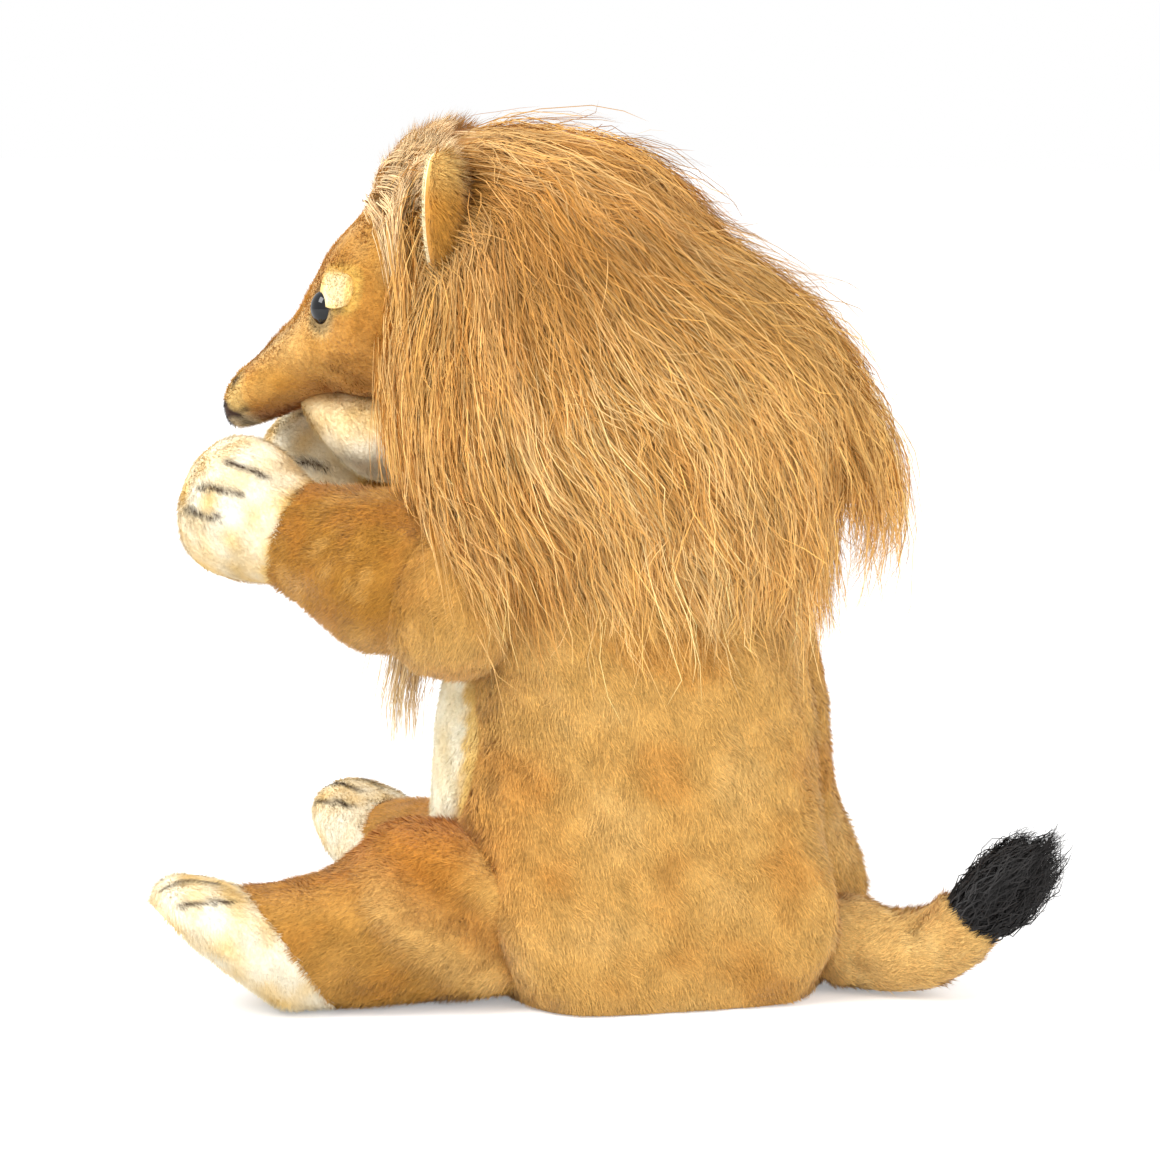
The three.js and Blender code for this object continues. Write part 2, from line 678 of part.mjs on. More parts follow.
// The plush sleeve wraps each round seat with a wall of its own.
function trunkShell() {
  const cups = [
    neckBall(SWIVEL_GAP + PLUSH),
    tailBall(SWIVEL_GAP + PLUSH),
    ...Object.values(SIDES).flatMap((s) => [
      shoulderBall(s, SWIVEL_GAP + PLUSH),
      hipBall(s, SWIVEL_GAP + PLUSH),
    ]),
  ];
  const outer = trunkForm(0);
  const inner = trunkForm(-PLUSH, HEM_HEIGHT);
  const walls = cups.reduce((all, cup) => all.add(cup.intersect(outer)), outer.subtract(inner));
  return aboveFloor(cutAll(walls, [...seats, ...passages]));
}

function makeTorso() {
  const shell = trunkShell();
  const panelWindow = (gap) =>
    block(
      vec(-TORSO_DEPTH, -TORSO_WIDTH, BELLY_PANEL_LOW - gap),
      vec(-BELLY_PANEL_SETBACK + gap, TORSO_WIDTH, BELLY_PANEL_HIGH + gap),
    );
  const cupFree = Object.values(SIDES).flatMap((s) => [
    shoulderBall(s, SWIVEL_GAP + PLUSH + SEAM_GAP),
    hipBall(s, SWIVEL_GAP + PLUSH + SEAM_GAP),
  ]);
  const panel = mainBody(cutAll(shell.intersect(panelWindow(0)), cupFree));
  const cupKeep = Object.values(SIDES).map((s) =>
    shoulderBall(s, SWIVEL_GAP + PLUSH).add(hipBall(s, SWIVEL_GAP + PLUSH)),
  );
  const sleeve = shell.subtract(cutAll(panelWindow(SEAM_GAP), cupKeep));
  for (const [name, side] of Object.entries(SIDES)) {
    piece(`body_sleeve_${name}`, sleeve.intersect(halfSpace(side)), plushGold);
  }
  piece("belly_panel", panel, plushCream);

  const cups = Object.values(SIDES).map((s) => hipBall(s, SWIVEL_GAP + PLUSH + SEAM_GAP));
  cups.push(tailBall(SWIVEL_GAP + PLUSH + SEAM_GAP));
  const layer = (inset, thickness, low, high) => {
    const zone = block(vec(-FAR, -FAR, low), vec(FAR, FAR, high));
    const outside = trunkForm(-inset, HEM_HEIGHT);
    const wall = outside.subtract(trunkForm(-inset - thickness, HEM_HEIGHT)).intersect(zone);
    return cutAll(wall, cups);
  };
  piece("hem_band", layer(PLUSH + SEAM_GAP, HEM_CLOTH, HEM_RISE, HEM_HEIGHT), liningCloth);
  const lining = layer(PLUSH + LINING_EASE, LINING, HEM_HEIGHT + SEAM_GAP, LINING_TOP);
  piece("glove_lining", lining, liningCloth);
}

function makeNeck() {
  const wall = neckBall(0).subtract(neckBall(-PLUSH));
  piece("neck_sleeve", wall.subtract(headPassage), plushGold);
}

function makeHead() {
  const outside = headForm(0);
  const inside = headForm(-PLUSH);
  const eyes = Object.values(SIDES).map((s) => eyeForm(s, SEAM_GAP));
  const eyeRooms = Object.values(SIDES).map((s) => eyeRoom(s));
  const nose = noseForm(SEAM_GAP);
  piece("head_skin", cutAll(outside.subtract(inside), [neckSeat, nose, ...eyes]), plushGold);

  const pocketFloor = vec(-HEAD_POCKET_FORWARD, 0, NECK_HEIGHT);
  const upTo = (height) => vec(-HEAD_POCKET_FORWARD, 0, height);
  const pocket = bar(pocketFloor, upTo(HEAD_POCKET_TOP), FINGER_BORE + LINING);
  const bore = bar(pocketFloor, upTo(HEAD_POCKET_TOP - LINING), FINGER_BORE);
  piece("head_finger_pocket", cutAll(pocket, [bore, neckSeat]), liningCloth);

  const filling = headForm(-PLUSH - SEAM_GAP);
  const pocketRoom = bar(
    pocketFloor,
    upTo(HEAD_POCKET_TOP + SEAM_GAP),
    FINGER_BORE + LINING + SEAM_GAP,
  );
  piece("head_stuffing", cutAll(filling, [neckSeat, pocketRoom, nose, ...eyeRooms]), fibreWhite);

  const faceRoom = headForm(SEAM_GAP);
  piece("jaw_panel", cutAll(jawForm(0), [faceRoom, neckSeat]), plushCream);
  piece("nose", noseForm(0).subtract(inside), noseBrown);
  for (const [name, side] of Object.entries(SIDES)) {
    piece(`eye_${name}`, eyeForm(side, 0), eyeGloss);
    piece(`eye_washer_${name}`, washerForm(side), washerPlastic);
    piece(`eyelid_${name}`, lidForm(side).subtract(faceRoom), plushCream);
    piece(`ear_${name}`, earForm(side).subtract(faceRoom), plushGold);
    piece(`ear_lining_${name}`, earLiningForm(side).subtract(faceRoom), plushCream);
  }
}

function makeForeleg(name, side) {
  const seat = shoulderSeat(side);
  const { along } = armAxes(side);
  const passage = armBore(side, GUSSET_EASE);
  const gusset = shoulderBall(side, 0).subtract(shoulderBall(side, -PLUSH));
  piece(`shoulder_gusset_${name}`, cutAll(gusset, [passage, handPassage(side)]), plushGold);

  const skin = armForm(side, 0).subtract(armForm(side, -PLUSH, ARM_LENGTH + PLUSH));
  piece(`foreleg_sleeve_${name}`, skin.subtract(seat), plushGold);

  const pocketWall = armBore(side, LINING).subtract(armBore(side, 0));
  const armPoint = (distance) => shoulderCentre(side).addScaledVector(along, distance);
  const pocketZone = bar(armPoint(SHOULDER_RADIUS + SWIVEL_GAP), armPoint(ARM_LENGTH), 2 * ARM_RADIUS);
  piece(`foreleg_finger_pocket_${name}`, pocketWall.intersect(pocketZone).subtract(seat), liningCloth);

  const padding = armForm(side, -PLUSH - SEAM_GAP);
  piece(`foreleg_padding_${name}`, cutAll(padding, [seat, armBore(side, LINING + SEAM_GAP)]), fibreWhite);

  const pawShell = pawForm(side, 0).subtract(pawForm(side, -PLUSH));
  const wristHole = WRIST_RADIUS - PLUSH;
  const pawMouth = bar(armPoint(ARM_LENGTH - PLUSH), armPoint(ARM_LENGTH + 2 * PLUSH), wristHole);
  piece(`forepaw_${name}`, pawShell.subtract(pawMouth), plushCream);
  piece(`forepaw_stuffing_${name}`, pawForm(side, -PLUSH - SEAM_GAP), fibreWhite);
}

function makeHindLeg(name, side) {
  const thigh = thighForm(side, 0).add(hipBall(side, 0));
  piece(`hindleg_skin_${name}`, aboveFloor(thigh.subtract(thighForm(side, -PLUSH))), plushGold);
  piece(`hindleg_stuffing_${name}`, thighForm(side, -PLUSH - SEAM_GAP), fibreWhite);
  piece(`hindpaw_${name}`, aboveFloor(footForm(side, 0)), plushCream);
}

function makeTail() {
  piece("tail_root", tailBall(0), plushGold);
  const skin = tailForm(0).subtract(tailSeat);
  piece("tail", aboveFloor(skin), plushGold);
  const start = tailLine.getPoint(1);
  const heading = tailLine.getTangent(1);
  const tip = start.clone().addScaledVector(heading, TUFT_LENGTH);
  const tuftLine = new THREE.LineCurve3(start.clone().addScaledVector(heading, SEAM_GAP), tip);
  const swell = (t) => TUFT_RADIUS * (0.65 + 2.2 * t) * (1 - t) + 1;
  piece("tail_tuft", taperAlong(tuftLine, (t) => Math.min(swell(t), TUFT_RADIUS), 7), tuftBlack);
}

function makeMane() {
  const earRooms = Object.values(SIDES).map((s) => earLeaf(s, SEAM_GAP));
  const arms = Object.values(SIDES).flatMap((s) => [armForm(s, SEAM_GAP), shoulderSeat(s)]);
  const trunk = trunkForm(SEAM_GAP);
  const head = headForm(SEAM_GAP);
  const jaw = jawForm(SEAM_GAP);
  const ruff = ruffForm(SEAM_GAP);
  const whole = cutAll(maneForm(), [trunk, head, jaw, neckSeat, ruff, ...arms, ...earRooms]);
  const upper = block(vec(-FAR, -FAR, MANE_PARTING + SEAM_GAP / 2), vec(FAR, FAR, FAR));
  const lower = block(vec(-FAR, -FAR, 0), vec(FAR, FAR, MANE_PARTING - SEAM_GAP / 2));
  piece("mane_crown", whole.intersect(upper), maneStraw);
  piece("mane_cape", whole.intersect(lower), maneStraw);
  piece("chest_ruff", cutAll(ruffForm(0), [trunk, neckSeat]), maneStraw);
}

makeTorso();
makeNeck();
makeHead();
for (const [name, side] of Object.entries(SIDES)) {
  makeForeleg(name, side);
  makeHindLeg(name, side);
}
makeTail();
makeMane();

// The origin is the middle of the footprint on the floor.
const reach = new THREE.Box3().setFromObject(lion);
lion.position.x = -(reach.min.x + reach.max.x) / 2;
lion.position.y = -(reach.min.y + reach.max.y) / 2;

export default lion;
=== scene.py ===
"""Looks of a plush lion hand puppet that sits on its open hem with both forepaws before its mouth."""
import math
import bpy
import numpy as np
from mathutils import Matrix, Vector


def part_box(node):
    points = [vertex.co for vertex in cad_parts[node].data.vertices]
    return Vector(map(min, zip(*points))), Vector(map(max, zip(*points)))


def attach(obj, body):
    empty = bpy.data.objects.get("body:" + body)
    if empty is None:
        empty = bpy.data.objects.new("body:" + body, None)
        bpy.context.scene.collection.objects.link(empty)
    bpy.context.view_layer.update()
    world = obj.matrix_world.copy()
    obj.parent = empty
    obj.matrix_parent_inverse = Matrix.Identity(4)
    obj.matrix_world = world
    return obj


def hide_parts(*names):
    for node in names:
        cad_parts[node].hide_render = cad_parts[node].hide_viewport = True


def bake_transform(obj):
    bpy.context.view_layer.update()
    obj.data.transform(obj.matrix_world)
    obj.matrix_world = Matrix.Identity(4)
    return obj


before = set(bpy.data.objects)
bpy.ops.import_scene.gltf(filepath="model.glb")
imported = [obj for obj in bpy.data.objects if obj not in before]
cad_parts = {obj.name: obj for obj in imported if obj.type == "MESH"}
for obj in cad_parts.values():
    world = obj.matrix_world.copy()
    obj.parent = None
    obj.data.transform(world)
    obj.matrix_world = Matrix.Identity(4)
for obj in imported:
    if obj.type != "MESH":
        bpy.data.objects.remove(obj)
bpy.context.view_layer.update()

# The sleeve of the torso: one tube of long-napped golden plush, cut in two panels, sewn up
# the back and left open below for the hand. Two padded haunches bulge behind the hips with
# the back seam as a valley between them.
TORSO_HEIGHT, TORSO_DEPTH, TORSO_WIDTH = 190, 130, 104
SLEEVE_CLOTH = 3
# Height, middle, half depth and half width from the hem to the nape, as shares.
TORSO = [
    [0, 0.046, 0.86, 0.885], [0.08, 0.03, 0.954, 0.96], [0.2, 0.004, 1, 1], [0.34, 0, 1, 1],
    [0.5, 0.006, 0.96, 0.99], [0.61, 0.027, 0.85, 0.97], [0.737, 0.012, 0.823, 0.94],
    [0.83, -0.023, 0.785, 0.865], [0.905, -0.092, 0.71, 0.73], [0.963, -0.138, 0.554, 0.54],
    [0.99, -0.16, 0.3, 0.3]]
neck_low, neck_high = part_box("neck_sleeve")
# Every point below is in millimetres off the torso's own upright axis, which stands here, in
# metres, in the object's frame.
AXIS = np.array([(neck_low.x + neck_high.x) / 2 + 0.039, (neck_low.y + neck_high.y) / 2, 0])


def linear(colour):
    """An sRGB hex colour as linear red, green and blue."""
    c = np.array([(colour >> s & 255) / 255 for s in (16, 8, 0)])
    return np.where(c <= 0.04045, c / 12.92, ((c + 0.055) / 1.055) ** 2.4)


def unit(v):
    """Vectors brought to length one."""
    return v / np.maximum(np.linalg.norm(v, axis=-1, keepdims=True), 1e-9)


def smoothstep(a, b, x):
    """0 below a, 1 above b, and an even S between them."""
    t = np.clip((x - a) / (b - a), 0, 1)
    return t * t * (3 - 2 * t)


def mix(a, b, t):
    """From a to b by the share t, given for each point."""
    return a + (b - a) * np.asarray(t)[..., None]


def smoothed(table, count):
    """Rows of a table read at even steps along a Catmull-Rom curve through them."""
    rows = np.asarray(table, float)
    t = np.linspace(0, len(rows) - 1, count)
    i = np.clip(t.astype(int), 0, len(rows) - 2)
    f = (t - i)[:, None]
    p = np.concatenate([2 * rows[:1] - rows[1:2], rows, 2 * rows[-1:] - rows[-2:-1]])
    a, b, c, d = p[i], p[i + 1], p[i + 2], p[i + 3]
    return (2 * b + (c - a) * f + (2 * a - 5 * b + 4 * c - d) * f**2
            + (3 * b - a - 3 * c + d) * f**3) / 2


def rings_of(middles, half_u, half_v, sides, squareness=2):
    """Closed rings: middle + U cos(a) + V sin(a), squarer than an ellipse above 2."""
    a = np.linspace(0, 2 * np.pi, sides, endpoint=False)[:, None]
    bow = lambda w: np.sign(w) * np.abs(w) ** (2 / squareness)
    return middles[:, None] + half_u[:, None] * bow(np.cos(a)) + half_v[:, None] * bow(np.sin(a))


def skin(rings, loop=False):
    """Rings joined side to side; the ends are closed by fans, or meet where loop is set.
    The signed volume of the cone from the origin to each face tells which way is out."""
    n, c = rings.shape[:2]
    i = np.arange(n * c).reshape(n, c)
    if loop:
        i = np.concatenate([i, i[:1]])
    j = np.roll(i, -1, 1)
    quads = np.stack([i[:-1], j[:-1], j[1:], i[1:]], -1).reshape(-1, 4)
    points, tris = rings.reshape(-1, 3), np.zeros((0, 3), int)
    if not loop:
        points = np.concatenate([points, [rings[0].mean(0), rings[-1].mean(0)]])
        tris = np.concatenate([np.stack([np.full(c, n * c), j[0], i[0]], -1),
                               np.stack([np.full(c, n * c + 1), i[-1], j[-1]], -1)])
    q = points[quads]
    volume = (q[:, 0] * np.cross(q[:, 1], q[:, 2]) + q[:, 0] * np.cross(q[:, 2], q[:, 3])).sum()
    volume += (points[tris][:, 0] * np.cross(points[tris][:, 1], points[tris][:, 2])).sum()
    return (points, [quads, tris]) if volume > 0 else (points, [quads[:, ::-1], tris[:, ::-1]])


def made(name, surface, material, colours=None, normals=None):
    """A mesh from points in millimetres and rows of point numbers, with a colour a point and,
    for pile, the way that each point is lit from."""
    points, faces = surface
    mesh = bpy.data.meshes.new(name)
    loops = np.concatenate([f.reshape(-1) for f in faces])
    sizes = np.concatenate([np.full(len(f), f.shape[1]) for f in faces])
    mesh.vertices.add(len(points))
    mesh.vertices.foreach_set("co", (points * 0.001 + AXIS).ravel())
    mesh.loops.add(len(loops))
    mesh.loops.foreach_set("vertex_index", loops.astype(np.int32))
    mesh.polygons.add(len(sizes))
    mesh.polygons.foreach_set("loop_start", (np.cumsum(sizes) - sizes).astype(np.int32))
    mesh.polygons.foreach_set("use_smooth", np.ones(len(sizes), bool))
    mesh.update(calc_edges=True)
    mesh.materials.append(material)
    if colours is not None:
        layer = mesh.color_attributes.new("Pile", "FLOAT_COLOR", "POINT")
        rgba = np.ones((len(points), 4), np.float32)
        rgba[:, :3] = np.clip(colours, 0, 1)
        layer.data.foreach_set("color", rgba.ravel())
    if normals is not None:
        layer = mesh.attributes.new("custom_normal", "FLOAT_VECTOR", "POINT")
        layer.data.foreach_set("vector", unit(normals).astype(np.float32).ravel())
        mesh.update()
    piece = bpy.data.objects.new(name, mesh)
    bpy.context.collection.objects.link(piece)
    return piece


def carried(piece, body, slot, *nodes):
    """A piece put on its body in place of the nodes that it stands for, which are hidden. The slot is not
    used.
    """
    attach(piece, body)
    if nodes:
        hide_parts(*nodes)
    return piece


def stuffed(name, rings, cloth, colours, body, nodes, tone=1.0):
    """A piece of stuffed cloth, the skin of its rings, painted by colours times tone."""
    points, faces = skin(rings)
    material, slot = cloth
    piece = made(name, (points, faces), material, tone * colours(points))
    carried(piece, body, slot, *nodes)


def add(tree, kind, inputs, **settings):
    """A node with its settings, its sockets' values and the sockets they are linked from."""
    node = tree.nodes.new(kind)
    for key, value in settings.items():
        setattr(node, key, value)
    for key, value in inputs.items():
        if isinstance(value, bpy.types.NodeSocket):
            tree.links.new(value, node.inputs[key])
        else:
            node.inputs[key].default_value = value
    return node


def drift(points, size, seed):
    """A number from about -1 to 1 that changes over size millimetres: twelve sine waves that
    run in mixed directions, added up."""
    rng = np.random.default_rng(seed)
    waves = unit(rng.normal(size=(12, 3))) * rng.uniform(0.6, 1.6, (12, 1)) * 2 * np.pi / size
    return np.sin(points @ waves.T + rng.uniform(0, 2 * np.pi, 12)).sum(-1) / 3.5


# Acrylic plush, knitted with a dense upright nap and airbrushed after sewing: a matt cloth
# with a soft sheen at grazing angles. Its backing shows as a fine mottle between the tufts.
NAP_MM = 1.1


def new_surface(name, **values):
    """A material, its node tree and its surface shader with these values."""
    material = bpy.data.materials.new(name)
    material.use_nodes = True
    surface = material.node_tree.nodes["Principled BSDF"]
    for socket, value in values.items():
        surface.inputs[socket.replace("_", " ")].default_value = value
    return material, material.node_tree, surface


def noise(tree, scale, detail):
    """A noise node's value over the object's own place."""
    place = add(tree, "ShaderNodeTexCoord", {})
    return add(tree, "ShaderNodeTexNoise",
               {"Vector": place.outputs["Object"], "Scale": scale, "Detail": detail}).outputs["Fac"]


def tint(tree, surface, colour, fac, span):
    """The surface's colour: a colour scaled by fac, which is mapped onto a span first."""
    tone = add(tree, "ShaderNodeMapRange", {"Value": fac, **span})
    shaded = add(tree, "ShaderNodeVectorMath", {0: colour, "Scale": tone.outputs["Result"]},
                 operation="SCALE")
    tree.links.new(shaded.outputs["Vector"], surface.inputs["Base Color"])


def emboss(tree, surface, height, strength, metres):
    """Bumps that stand up to so many metres high."""
    bump = add(tree, "ShaderNodeBump", {"Height": height, "Strength": strength, "Distance": metres})
    tree.links.new(bump.outputs["Normal"], surface.inputs["Normal"])


def plush_cloth(name, dark, roughness, sheen):
    """Pile cloth: the painted colour, darker by noise in the gaps, with bumps one nap wide."""
    material, tree, surface = new_surface(
        name, Roughness=roughness, Specular_IOR_Level=0.2, Sheen_Weight=sheen, Sheen_Roughness=0.6)
    gaps = noise(tree, 1000 / NAP_MM, 2.0)
    painted = add(tree, "ShaderNodeVertexColor", {}, layer_name="Pile")
    tint(tree, surface, painted.outputs["Color"], gaps,
         {"From Min": 0.3, "From Max": 0.6, "To Min": dark, "To Max": 1.0})
    emboss(tree, surface, gaps, 0.5, 0.001)
    return material


golden_plush = plush_cloth("airbrushed_golden_plush", 0.86, 0.9, 0.15), "plush_gold"
GOLD, ORANGE, AMBER, UMBER, STRAW = (
    linear(c) for c in (0xDBAA5B, 0xC98228, 0xB07A28, 0x8E6230, 0xF0CA82))


def blades(paths, widths, outs, shades, rng, roll=0.9, bow=0.35):
    """Hairs as flat tapering blades: two points at each point of a path but the last, which is
    the tip. Each lies across the way out, rolled by up to roll radians, and is lit as part of
    the soft surface under it: its edges' normals are the way out bowed to either side."""
    n, k = paths.shape[:2]
    along = unit(np.gradient(paths, axis=1) if k > 2 else np.repeat(paths[:, 1:] - paths[:, :1], 2, 1))
    side = unit(np.cross(outs, along))
    turn = rng.uniform(-roll, roll, (n, 1, 1))
    flat = (side * np.cos(turn) + np.cross(along, side) * np.sin(turn))[:, :-1]
    half = flat * widths[:, :-1, None] / 2
    edges = np.stack([paths[:, :-1] - half, paths[:, :-1] + half], 2)
    lit = np.stack([outs[:, :-1] - bow * flat, outs[:, :-1] + bow * flat], 2)
    points = np.concatenate([edges.reshape(n, -1, 3), paths[:, -1:]], 1)
    normals = np.concatenate([lit.reshape(n, -1, 3), outs[:, -1:]], 1)
    tones = np.concatenate([np.repeat(shades[:, :-1], 2, 1), shades[:, -1:]], 1)
    first = (np.arange(n) * (2 * k - 1))[:, None, None]
    i = 2 * np.arange(k - 1)
    quads = np.stack([i[:-1], i[1:], i[1:] + 1, i[:-1] + 1], -1)[None] + first
    tips = np.array([[[2 * k - 4, 2 * k - 2, 2 * k - 3]]]) + first
    faces = [tips.reshape(-1, 3)] if k == 2 else [quads.reshape(-1, 4), tips.reshape(-1, 3)]
    return (points.reshape(-1, 3), faces), tones.reshape(-1, 3), normals.reshape(-1, 3)


def scattered(rings, spacing, seed, outside=None):
    """Random places on a skin, one to each square of spacing, with the way out at each.
    Cells are drawn by their area and the place in a cell is even."""
    rng = np.random.default_rng(seed)
    a, b = rings[:-1], np.roll(rings, -1, 1)[:-1]
    d, c = rings[1:], np.roll(rings, -1, 1)[1:]
    normals = np.cross(c - a, d - b).reshape(-1, 3) / 2
    area = np.linalg.norm(normals, axis=-1)
    middle = rings.reshape(-1, 3).mean(0)
    if ((a.reshape(-1, 3) - middle) * normals).sum() < 0:
        normals = -normals
    cell = rng.choice(len(area), int(area.sum() / spacing**2), p=area / area.sum())
    u, v = rng.random((2, len(cell), 1))
    a, b, c, d = (w.reshape(-1, 3)[cell] for w in (a, b, c, d))
    places = (a * (1 - u) + b * u) * (1 - v) + (d * (1 - u) + c * u) * v
    ways = unit(normals)[cell]
    keep = np.ones(len(cell), bool) if outside is None else outside(places)
    return places[keep], ways[keep]


PILE_OFF_FLOOR = 0.3


def nap(name, places, ways, flow, length, colours, cloth, body, seed, lay=0.74, width=0.42,
        mottle=1.0, roll=0.6):
    """Tufts of pile: each leans from the way out towards the flow by the share lay, in soft
    whorls. Some tufts are pale and some dark, as in mottled plush, by the share mottle. Each
    tuft is painted darker at its root and lighter at its tip: painted shade deep in the pile and
    painted light at its top. None reaches below the floor."""
    rng = np.random.default_rng(seed)
    n = len(places)
    down = flow(places) if callable(flow) else np.broadcast_to(np.asarray(flow, float), (n, 3))
    down = unit(down - (down * ways).sum(-1, keepdims=True) * ways)
    whorl = np.stack([drift(places, 14, seed + k) for k in (1, 2, 3)], -1)
    lean = unit(down + 0.3 * whorl + rng.normal(0, 0.22, (n, 3)))
    heading = unit(ways * (1 - lay) + lean * lay)
    heading += ways * np.maximum(0.14 - (heading * ways).sum(-1, keepdims=True), 0)
    reach = length * rng.uniform(0.6, 1.25, (n, 1))
    paths = np.stack([places - 0.3 * ways, places + unit(heading) * reach], 1)
    paths[..., 2] = np.maximum(paths[..., 2], PILE_OFF_FLOOR)
    speck = rng.choice([0.66, 0.88, 1.0, 1.2], (n, 1), p=[0.08, 0.22, 0.5, 0.2])
    base = colours(places) * (1 + mottle * (speck - 1)) * rng.uniform(0.96, 1.04, (n, 1))
    # Painted shade at the root of each tuft and painted light at its tip.
    shades = np.stack([base * 0.92, base * 1.04], 1)
    widths = np.full((n, 2), width) * rng.uniform(0.7, 1.2, (n, 1))
    outs = np.repeat((ways + 0.18 * whorl)[:, None], 2, 1)
    surface, tones, lit = blades(paths, widths, outs, shades, rng, roll)
    material, slot = cloth
    carried(made(name, surface, material, tones, lit), body, slot)


HAUNCH, BACK_SEAM, HIP_BULGE, ARMHOLE_BULGE = 16, 6, 18, 10


def torso_rings(inset, count, sides=112):
    """Torso stations as level rings, drawn in by inset. Two haunches and the back seam's
    valley shape them behind; the cloth swells over each hip and armhole at the sides."""
    s = smoothed(TORSO, count)
    zero = np.zeros(count)
    middles = np.stack([s[:, 1] * TORSO_DEPTH, zero, s[:, 0] * (TORSO_HEIGHT - inset)], -1)
    half_x = np.stack([s[:, 2] * TORSO_DEPTH / 2 - inset, zero, zero], -1)
    half_y = np.stack([zero, s[:, 3] * TORSO_WIDTH / 2 - inset, zero], -1)
    rings = rings_of(middles, half_x, half_y, sides)
    x, y, z = np.moveaxis(rings, -1, 0)
    behind = smoothstep(0, TORSO_DEPTH / 2, x)
    lobes = HAUNCH * np.exp(-(((z / 66 - 0.45) / 0.42) ** 2) - ((np.abs(y) - 27) / 13.5) ** 2)
    valley = BACK_SEAM * np.exp(-((y / 5.5) ** 2)) * smoothstep(4, 24, z) * (1 - smoothstep(150, 175, z))
    rings[..., 0] += behind * (lobes - valley)
    hip = HIP_BULGE * np.exp(-(((x + 20 + (z - 25) * 0.5) / 27) ** 2) - ((z - 22) / 42) ** 2)
    armhole = ARMHOLE_BULGE * np.exp(-(((x + 24) / 24) ** 2) - ((z - 122) / 27) ** 2)
    hip, armhole = hip * smoothstep(-56, -36, x), armhole * smoothstep(-50, -30, x)
    rings[..., 1] += np.sign(y) * (hip + armhole) * smoothstep(15, 40, np.abs(y))
    return rings


def outside_torso(points, margin=0.0):
    """Whether points lie outside the torso's ellipse at their height."""
    s = smoothed(TORSO, 200)
    z = s[:, 0] * TORSO_HEIGHT
    middle, half_x, half_y = (np.interp(points[:, 2], z, s[:, k] * w) for k, w in
                              ((1, TORSO_DEPTH), (2, TORSO_DEPTH / 2), (3, TORSO_WIDTH / 2)))
    across = (points[:, 0] - middle) / (half_x + margin)
    return across**2 + (points[:, 1] / (half_y + margin)) ** 2 > 1


def sleeve_colours(p):
    """Golden tan, cloudy over 45 mm, with orange airbrush low at the back and by the hips, and
    umber along the back seam as painted shade in its valley.
    """
    cloud = drift(p, 46, 3) + 0.3 * drift(p, 13, 4)
    base = mix(GOLD, ORANGE, 0.4 * smoothstep(0.2, 1.5, cloud))
    base = mix(base, STRAW, 0.25 * smoothstep(0.1, 1.5, -cloud))
    hip = np.exp(-(((p[:, 0] + 40) / 26) ** 2) - ((p[:, 2] - 52) / 22) ** 2)
    # Painted shade: umber in the valley of the back seam.
    seam = np.exp(-((p[:, 1] / 7) ** 2)) * (p[:, 0] > 30)
    return mix(mix(base, ORANGE, 0.55 * hip), UMBER, 0.35 * seam)


def belly_edge(p):
    """How far points lie inside the cream leaf on the belly: widest at hip height, it narrows
    to a point above the hem and stays open upwards."""
    height = p[:, 2] - 68
    half = LEAF_HALF - 5.4 * (height / np.where(height > 0, 30, 15)) ** 2
    return np.where(p[:, 0] < -20, half - np.abs(p[:, 1]), -9)


LEAF_HALF, PANEL_SIDE, PANEL_LOW, PANEL_HIGH = 45.0, -29, 10, 115
in_panel = lambda p: (p[:, 0] < PANEL_SIDE) & (p[:, 2] > PANEL_LOW - 1) & (p[:, 2] < PANEL_HIGH + 1)
in_leaf = lambda p: in_panel(p) & (belly_edge(p) > 0)
outer = torso_rings(0.8, 90)
outer[0, :, 2] = 0.6
inner = torso_rings(SLEEVE_CLOTH, 50)[::-1]
inner[-1, :, 2] = 0.6
turn = (outer[:1] + inner[-1:]) / 2
turn[..., 2] = 0.05
rings = np.concatenate([inner, turn, outer])
stuffed("sleeve_cloth", rings, golden_plush, sleeve_colours, "root",
        ["body_sleeve_left", "body_sleeve_right"], tone=0.8)

shown = lambda p: (p[:, 2] < 160) & ~in_leaf(p)
places, ways = scattered(outer, 0.5, 11, shown)
places += ways * (1.4 * in_panel(places) * smoothstep(PANEL_SIDE, PANEL_SIDE - 8, places[:, 0]))[:, None]
for side, near in (("left", places[:, 1] < 0), ("right", places[:, 1] >= 0)):
    nap(f"sleeve_nap_{side}", places[near], ways[near], (0.35, 0, -1), 3.2, sleeve_colours,
        golden_plush, "root", seed=21)

# The belly panel: cream plush set into the front of the sleeve from the hem to the chest,
# sprayed yellow along its side seams.
CREAM, YELLOW, WHITE = (linear(c) for c in (0xF1DFB2, 0xEBC25E, 0xF5EBD2))
cream_plush = plush_cloth("sprayed_cream_plush", 0.96, 0.9, 0.05), "plush_cream"


def slab(front, back):
    """Two grids of points, face to face, closed round their four edges."""
    r, c = front.shape[:2]
    f = np.arange(r * c).reshape(r, c)
    b = f + r * c
    cells = lambda g: np.stack([g[:-1, :-1], g[:-1, 1:], g[1:, 1:], g[1:, :-1]], -1).reshape(-1, 4)
    quads = [cells(f), cells(b)[:, ::-1]]
    edges = [0, slice(None, None, -1)], [-1, slice(None)], [slice(None), 0], [slice(None, None, -1), -1]
    for u, v in ((f[tuple(e)], b[tuple(e)]) for e in edges):
        quads.append(np.stack([u[:-1], u[1:], v[1:], v[:-1]], -1))
    quads = np.concatenate(quads)
    points = np.concatenate([front.reshape(-1, 3), back.reshape(-1, 3)])
    q = points[quads] - points.mean(0)
    volume = (q[:, 0] * (np.cross(q[:, 1], q[:, 2]) + np.cross(q[:, 2], q[:, 3]))).sum()
    return points, [quads if volume > 0 else quads[:, ::-1]]


